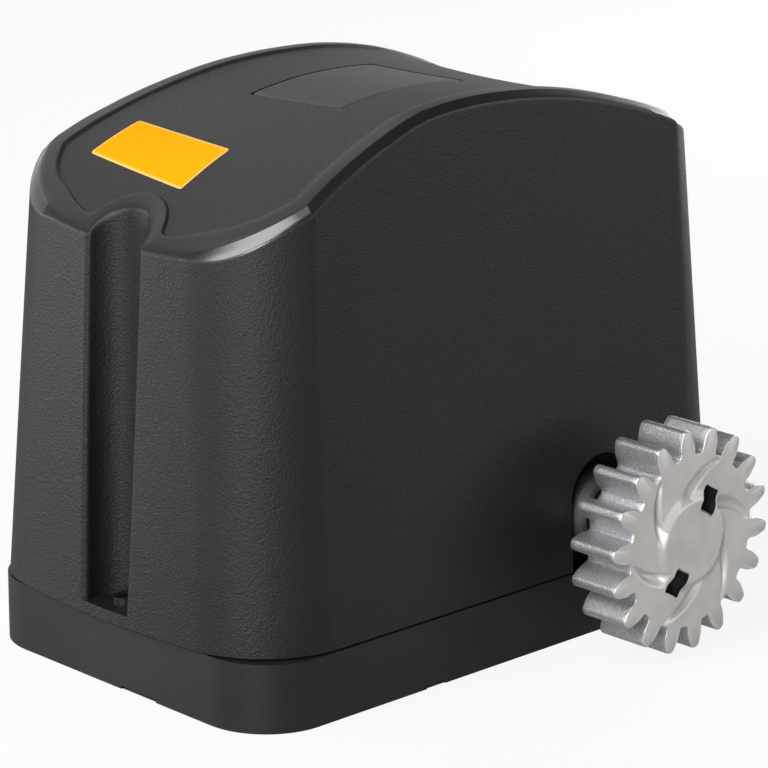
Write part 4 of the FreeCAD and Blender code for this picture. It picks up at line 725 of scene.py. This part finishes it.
def badge_seat():
    """A closed block over the badge's place, whose underside follows the roof panel at
    the seat's depth.
    """
    half_x, half_y = BADGE_HALF[0] + BADGE_GAP, BADGE_HALF[1] + BADGE_GAP
    x = BADGE_AT[0] + half_x * np.linspace(-1.0, 1.0, 33)[None, :] * np.ones((9, 1))
    y = BADGE_AT[1] + half_y * np.linspace(-1.0, 1.0, 9)[:, None] * np.ones((1, 33))
    low = stacked(x, y, roof(x, y) + PANEL - BADGE_SUNK)
    high = low + np.array([0.0, 0.0, 12.0])
    sides = [(low[0], high[0]), (low[-1], high[-1]), (low[:, 0], high[:, 0]),
             (low[:, -1], high[:, -1])]
    grids = [low, high] + [np.stack(pair) for pair in sides]
    return placed("badge_seat", surface("badge_seat", [(grid, False, {}) for grid in grids]))


carve(cover, prism("shaft_slot", shaft_slot(), -110.0, -40.0),
      prism("key_hole", key_hole(), 40.0, 110.0), badge_seat())


# ---------------------------------------------------------------- plates on the roof
def rounded_box(x, y, half_x, half_y, radius, count, along):
    """Corner-rounded rectangle round (x, y): count points on each corner's arc, and along
    points on each side.
    """
    turn = np.linspace(0.0, math.pi / 2, count)
    arcs = []
    for k, (sx, sy) in enumerate(((1, 1), (-1, 1), (-1, -1), (1, -1))):
        angle = turn + k * math.pi / 2
        arcs.append(np.stack([x + sx * (half_x - radius) + radius * np.cos(angle),
                              y + sy * (half_y - radius) + radius * np.sin(angle)], -1))
    share = np.linspace(0.0, 1.0, along + 2)[1:-1, None]
    loop = []
    for arc, after in zip(arcs, arcs[1:] + arcs[:1]):
        loop += [arc, arc[-1] * (1 - share) + after[0] * share]
    return np.concatenate(loop)


def turned_flat(flat, x, y, angle):
    """Flat points turned by the angle, then moved by x and y."""
    cos, sin = math.cos(angle), math.sin(angle)
    return x + flat[:, 0] * cos - flat[:, 1] * sin, y + flat[:, 0] * sin + flat[:, 1] * cos


def plate_on_roof(name, at, half, thick, sunk, radius, angle, slot, node, border=0.0):
    """A thin plate that follows the roof, as rings of one rounded outline: its wall, a
    small bevel, its flat top drawn in to the middle, and its underside. The edge mark is 1
    from the wall to the border's inner line.
    """
    def ring(inset, height, share=1.0):
        """The outline at an inset and a height over the panel, shrunk to its share."""
        flat = rounded_box(0.0, 0.0, half[0] - inset, half[1] - inset,
                           max(radius - inset, 0.2), 9, 30) * share
        x, y = turned_flat(flat, *at, angle)
        return stacked(x, y, roof(x, y) + PANEL + height)

    top, rim = thick - sunk, 0.35 * min(1.0, thick)
    rows = [ring(0.0, -sunk), ring(0.0, top - rim), ring(0.3 * rim, top - 0.3 * rim),
            ring(rim, top)]
    inner = max(rim, border + 0.1)
    if border:
        rows += [ring(border, top), ring(inner, top)]
    edge = np.ones(len(rows))
    if border:
        edge[-1] = 0.0
    shares = np.linspace(1.0, 0.0, 14)[1:]
    rows += [ring(inner, top, share) for share in shares]
    edge = np.concatenate([edge, np.zeros(len(shares))])
    under = [ring(0.0, -sunk, share) for share in np.linspace(0.0, 1.0, 6)]
    grids = [(np.stack(rows), True, {"edge": edge[:, None]}),
             (np.stack(under), True, {"edge": 0.0})]
    return piece(name, grids, "cover", slot, node, 40.0)


plate_on_roof("badge_panel", BADGE_AT, BADGE_HALF, BADGE_THICK, BADGE_SUNK, 3.0, 0.0,
              "badge_plastic", "badge_plate")
plate_on_roof("orange_label", LABEL_AT, LABEL_HALF, LABEL_THICK, LABEL_SUNK, 1.0, LABEL_TURN,
              "label_film", "blank_label", LABEL_BORDER)

# ---------------------------------------------------------------- pinion
TEETH, MODULE, WIDTH, BACK_Y = 18, 4.0, 20.0, -94.0
PITCH, PRESSURE = TEETH * MODULE / 2, math.radians(20)
ROOT, TIP, CROWN, SAMPLES = PITCH - 5.0, PITCH + 4.0, 1.0, 44
FIRST_TOOTH = math.radians(75.5)
BOSS_R, BOSS_RISE, BOSS_SLOPE = 14.2, 1.5, 4.0
FLUTES, FLUTE_IN, FLUTE_OUT, FLUTE_DEEP = 6, 16.0, 29.8, 2.6
BORE_R, BORE_WIDE, BORE_MOUTH, BORE_DEEP = 8.2, 8.53, 8.9, 16.0
POCKET_R, POCKET_HALF, POCKETS = 15.5, (4.3, 3.7), (math.radians(60.0), math.radians(240.0))


def tooth_line():
    """One tooth pitch, evenly sampled, as arrays of radius and angle: the root, a fillet,
    the involute flank, a rounded crown, and the same way back.

    The flank's half angle is the pitch tooth's, less tan(a) - a of the involute angle a.
    """
    base = PITCH * math.cos(PRESSURE)
    flank_r = np.linspace(base + 0.2, TIP - CROWN, 12)
    lean = np.arccos(base / flank_r)
    flank_a = math.pi / (2 * TEETH) + math.tan(PRESSURE) - PRESSURE - (np.tan(lean) - lean)
    round_top = np.linspace(0.0, math.pi / 2, 7)[1:]
    crown_r = TIP - CROWN + CROWN * np.sin(round_top)
    crown_a = flank_a[-1] * (TIP - CROWN) * (1.0 - 0.95 * (1.0 - np.cos(round_top))) / crown_r
    crown_a[-1] = 0.0
    bottom, foot_a = math.pi / TEETH, flank_a[0] + 0.035
    fillet = np.linspace(0.0, math.pi / 2, 6)[:-1]
    fillet_r = ROOT + (flank_r[0] - ROOT) * (1.0 - np.cos(fillet))
    fillet_a = foot_a + (flank_a[0] - foot_a) * np.sin(fillet)
    r = np.concatenate([[ROOT, ROOT], fillet_r, flank_r, crown_r])
    a = np.concatenate([[bottom, (bottom + foot_a) / 2], fillet_a, flank_a, crown_a])
    r, a = np.concatenate([r, r[-2::-1]]), np.concatenate([-a, a[-2::-1]])
    steps = np.hypot(np.diff(r * np.cos(a)), np.diff(r * np.sin(a)))
    length = np.concatenate([[0.0], np.cumsum(steps)])
    spots = np.linspace(0.0, length[-1], SAMPLES + 1)[:-1]
    return np.interp(spots, length, r), np.interp(spots, length, a)


def flute_edge(radius, start, sweep):
    """Angle in degrees of one edge of a flute, which swings back as it goes outwards."""
    share = np.clip((radius - FLUTE_IN) / (FLUTE_OUT - FLUTE_IN), 0.0, 1.2)
    return start - sweep * share ** 0.8


def face_height(radius, angle):
    """Front face of the pinion: flutes spiral from the boss towards the rim, steep on one
    side and easing up to the petal on the other, and fade out by the rim and the pockets.
    The boss stands above the petals, with a sloping edge.
    """
    low_edge, high_edge = flute_edge(radius, 33.0, 31.0), flute_edge(radius, 64.0, 56.0)
    pitch = 360.0 / FLUTES
    across = (np.degrees(angle) - low_edge + 10 * pitch) % pitch
    across = across / np.maximum(high_edge - low_edge, 0.1)
    flute = ease(across, 0.0, 0.12) * (1.0 - ease(across, 0.28, 1.0))
    for turn in POCKETS:
        away = np.hypot(radius * np.cos(angle) - POCKET_R * math.cos(turn),
                        radius * np.sin(angle) - POCKET_R * math.sin(turn))
        flute = flute * ease(away, 4.6, 7.4)
    deep = FLUTE_DEEP * (1.0 - ease(radius, 22.0, 30.5)) + 0.25
    fade = 1.0 - ease(radius, 28.6, 31.0)
    boss = 1.0 - ease(radius, BOSS_R, BOSS_R + BOSS_SLOPE)
    return BOSS_RISE * boss - deep * flute * fade * (1.0 - boss)


def pinion():
    """The pinion as rings round the shaft: its back face, out to the teeth, along their
    flanks, and over the front face to the middle, with a bore behind. A ring's share goes
    from 0, points at the tooth line's own angles, to 1, points evenly round.
    """
    r, a = tooth_line()
    tooth_a = np.concatenate([a + FIRST_TOOTH - k * 2 * math.pi / TEETH
                              for k in range(TEETH - 1, -1, -1)])
    tooth_r = np.tile(r, TEETH)
    even = np.linspace(tooth_a[0], tooth_a[0] + 2 * math.pi, len(tooth_a), endpoint=False)

    def grid(rings):
        """Points from rings of (radius, distance forward, share)."""
        made = []
        for radius, forward, share in rings:
            radius = np.broadcast_to(radius, tooth_r.shape)
            angle = tooth_a * (1.0 - share) + even * share
            if forward is None:
                forward = WIDTH + face_height(radius, angle)
            made.append(stacked(SHAFT_X + radius * np.cos(angle),
                                np.broadcast_to(BACK_Y - forward, angle.shape),
                                SHAFT_Z + radius * np.sin(angle)))
        return np.stack(made)

    back = [(radius, 0.0, 1.0) for radius in (BORE_MOUTH, 11.5, 16.0, 22.0, 28.0)]
    back += [(30.4, 0.0, 0.6), (tooth_r - 0.55, 0.0, 0.0), (tooth_r - 0.16, 0.12, 0.0)]
    flanks = [(tooth_r, forward, 0.0)
              for forward in (0.5, *np.linspace(2.5, WIDTH - 2.5, 8), WIDTH - 0.45)]
    front = [(tooth_r - 0.14, WIDTH - 0.12, 0.0), (tooth_r - 0.5, WIDTH, 0.0)]
    inwards = np.concatenate([np.linspace(28.0, 17.4, 22), np.linspace(17.0, 13.8, 12),
                              np.linspace(12.5, 0.0, 7)])
    front += [(30.5, None, 0.55), (29.6, None, 0.8), (28.8, None, 0.92)]
    front += [(radius, None, 1.0) for radius in inwards]
    face = np.concatenate([np.zeros(len(back) + len(flanks)), [0.5], np.ones(len(front) - 1)])
    bore = [(BORE_MOUTH, 0.0), (BORE_WIDE, 0.4), (BORE_WIDE, BORE_DEEP - 0.4),
            (BORE_R, BORE_DEEP), (0.0, BORE_DEEP)]
    # The skin mark is 1 on all the pinion's own faces; the pockets' walls, cut below, get 0 and
    # painted shade.
    grids = [(grid(back + flanks + front), True, {"face": face[:, None], "skin": 1.0}),
             (grid([(*ring, 1.0) for ring in bore]), True, {"face": 0.0, "skin": 1.0})]
    return piece("rack_pinion", grids, "output", "cast_alloy", "pinion", 38.0)


def pocket(turn):
    """Outline of one rectangular pocket beside the boss, with small corner radii."""
    flat = rounded_box(POCKET_R, 0.0, *POCKET_HALF, 0.7, 5, 12)
    return np.stack(turned_flat(flat, SHAFT_X, SHAFT_Z, turn), -1)


carve(pinion(), *[prism("pocket_%d" % k, pocket(turn), -125.0, -97.2)
                  for k, turn in enumerate(POCKETS)])

# ---------------------------------------------------------------- carried-over nodes
SLOT_OF = {row["node"]: row["material_slot"] for row in frame["record"]["subparts"]}
for node, item in frame["nodes"].items():
    item.data.materials.clear()
    item.data.materials.append(FINISHES[SLOT_OF[node]])

# ---------------------------------------------------------------- floor and world
DIM_FLOOR, FLOOR_GLOW, GLOSSY_FLOOR, FLOOR_EDGE = 0.10, 0.88, 0.2, 4.0
TRAY_CORNER = 25.0
DIM_SKY, GLOSSY_SKY, GLOSSY_ZENITH = 0.12, 0.65, 0.02


def floor_finish():
    """White floor that keeps the object's soft shadow. It glows for rays from the camera,
    and diffuse light meets a dim table.

    Under the tray, a rectangle with round corners, it doesn't glow and takes the dim colour,
    as painted shade: there, the distance from the rectangle's straight inner part is less than the
    corner radius.
    """
    made = Finish("studio_floor", Roughness=1.0, Specular_IOR_Level=0.0)
    speck = made.noise(8.0)
    seen = made.ray("Camera") + made.ray("Transmission") + made.ray("Glossy") * GLOSSY_FLOOR
    straight = ((HALF_LENGTH - TRAY_CORNER) * MM, (HALF_WIDTH - TRAY_CORNER) * MM, 0.0)
    away = made.vector("SUBTRACT", made.vector("ABSOLUTE", made.place), straight)
    away = made.vector("LENGTH", made.vector("MAXIMUM", away, (0.0, 0.0, 0.0)), out="Value")
    # Under the tray the floor neither glows nor takes the pale colour: painted shade.
    seen = seen * away.step((TRAY_CORNER - 1.0) * MM, (TRAY_CORNER - 0.2) * MM)
    pale = made.mixed(speck, grey(0.86), grey(0.88))
    made.feed(Base_Color=made.mixed(seen, grey(DIM_FLOOR), pale))
    glow = made.node("ShaderNodeEmission", {}, {"Color": grey(1.0), "Strength": 1.0})
    lit = Wire(made, made.shader.outputs[0])
    blend = made.node("ShaderNodeMixShader", {}, {0: seen * FLOOR_GLOW, 1: lit, 2: glow})
    made.put(blend, made.tree.nodes["Material Output"].inputs["Surface"])
    return made.material


def studio_world():
    """White for the camera, dim for diffuse light, and for gloss a pale band low down
    that fades upwards.
    """
    world = bpy.data.worlds.new("studio")
    bpy.context.scene.world = world
    world.use_nodes = True
    sky = Nodes(world.node_tree)
    place = sky.node("ShaderNodeTexCoord", out="Generated")
    up = sky.node("ShaderNodeSeparateXYZ", {}, {0: place}, "Z")
    haze = up.step(0.2, 0.6, GLOSSY_SKY, GLOSSY_ZENITH)
    level = DIM_SKY + sky.ray("Camera") + sky.ray("Transmission") + sky.ray("Glossy") * haze
    back = sky.tree.nodes["Background"]
    sky.put(grey(1.0), back.inputs["Color"])
    sky.put(level.at_most(1.0), back.inputs["Strength"])


square = np.array([(-1, -1, 0), (1, -1, 0), (1, 1, 0), (-1, 1, 0)]) * FLOOR_EDGE
floor_mesh = bpy.data.meshes.new("floor")
floor_mesh.from_pydata(square.tolist(), [], [(0, 1, 2, 3)])
floor_mesh.materials.append(floor_finish())
placed("floor", floor_mesh)
studio_world()

# ---------------------------------------------------------------- lights and camera
# Soft lights as (place, point they face, width, height, watts), in metres. The key light
# stands above the near corner and lights its bevel; the others are weaker and give each
# wall, the roof and the pinion its sheen.
LIGHTS = {
    "key_box": ((-1.10, -0.06, 1.08), (-0.09, -0.05, 0.17), 0.8, 1.1, 17.0),
    "rear_box": ((0.15, 1.5, 1.5), (0.0, 0.0, 0.15), 1.6, 0.9, 8.0),
    "left_box": ((-1.15, 1.25, 0.13), (0.0, 0.0, 0.05), 0.9, 0.22, 10.0),
    "front_box": ((-1.45, -0.85, 0.35), (0.0, 0.0, 0.12), 0.5, 0.6, 14.0),
    "gate_box": ((1.25, -1.35, 0.38), (0.04, -0.07, 0.08), 0.7, 0.6, 4.5),
    "right_box": ((1.35, 0.35, 0.35), (0.1, 0.0, 0.1), 0.7, 0.6, 8.0),
}
for name, (at, towards, width, height, power) in LIGHTS.items():
    lamp = bpy.data.lights.new(name, "AREA")
    lamp.shape, lamp.size, lamp.size_y, lamp.energy = "RECTANGLE", width, height, power
    made = placed(name, lamp)
    made.location = at
    made.rotation_euler = (Vector(towards) - Vector(at)).to_track_quat("-Z", "Y").to_euler()

CAMERA_AT, LOOK = Vector((-0.7994, -0.8311, 0.4120)), Vector((0.6695, 0.6904, -0.2743))
SENSOR, LENS, ROLL = 36.0, 158.6, math.radians(0.37)


def aim(look, roll):
    """Camera axes as a matrix: level to the right, up square to it, then both rolled."""
    level = look.cross(Vector((0, 0, 1))).normalized()
    upright = level.cross(look)
    right = level * math.cos(roll) + upright * math.sin(roll)
    up = upright * math.cos(roll) - level * math.sin(roll)
    return Matrix((right, up, -look)).transposed().to_4x4()


view = bpy.data.cameras.new("camera")
view.sensor_width, view.lens, view.clip_start = SENSOR, LENS, 0.05
camera = placed("camera", view)
camera.matrix_world = Matrix.Translation(CAMERA_AT) @ aim(LOOK.normalized(), ROLL)
bpy.context.scene.camera = camera
bpy.context.scene.view_settings.view_transform = "Standard"
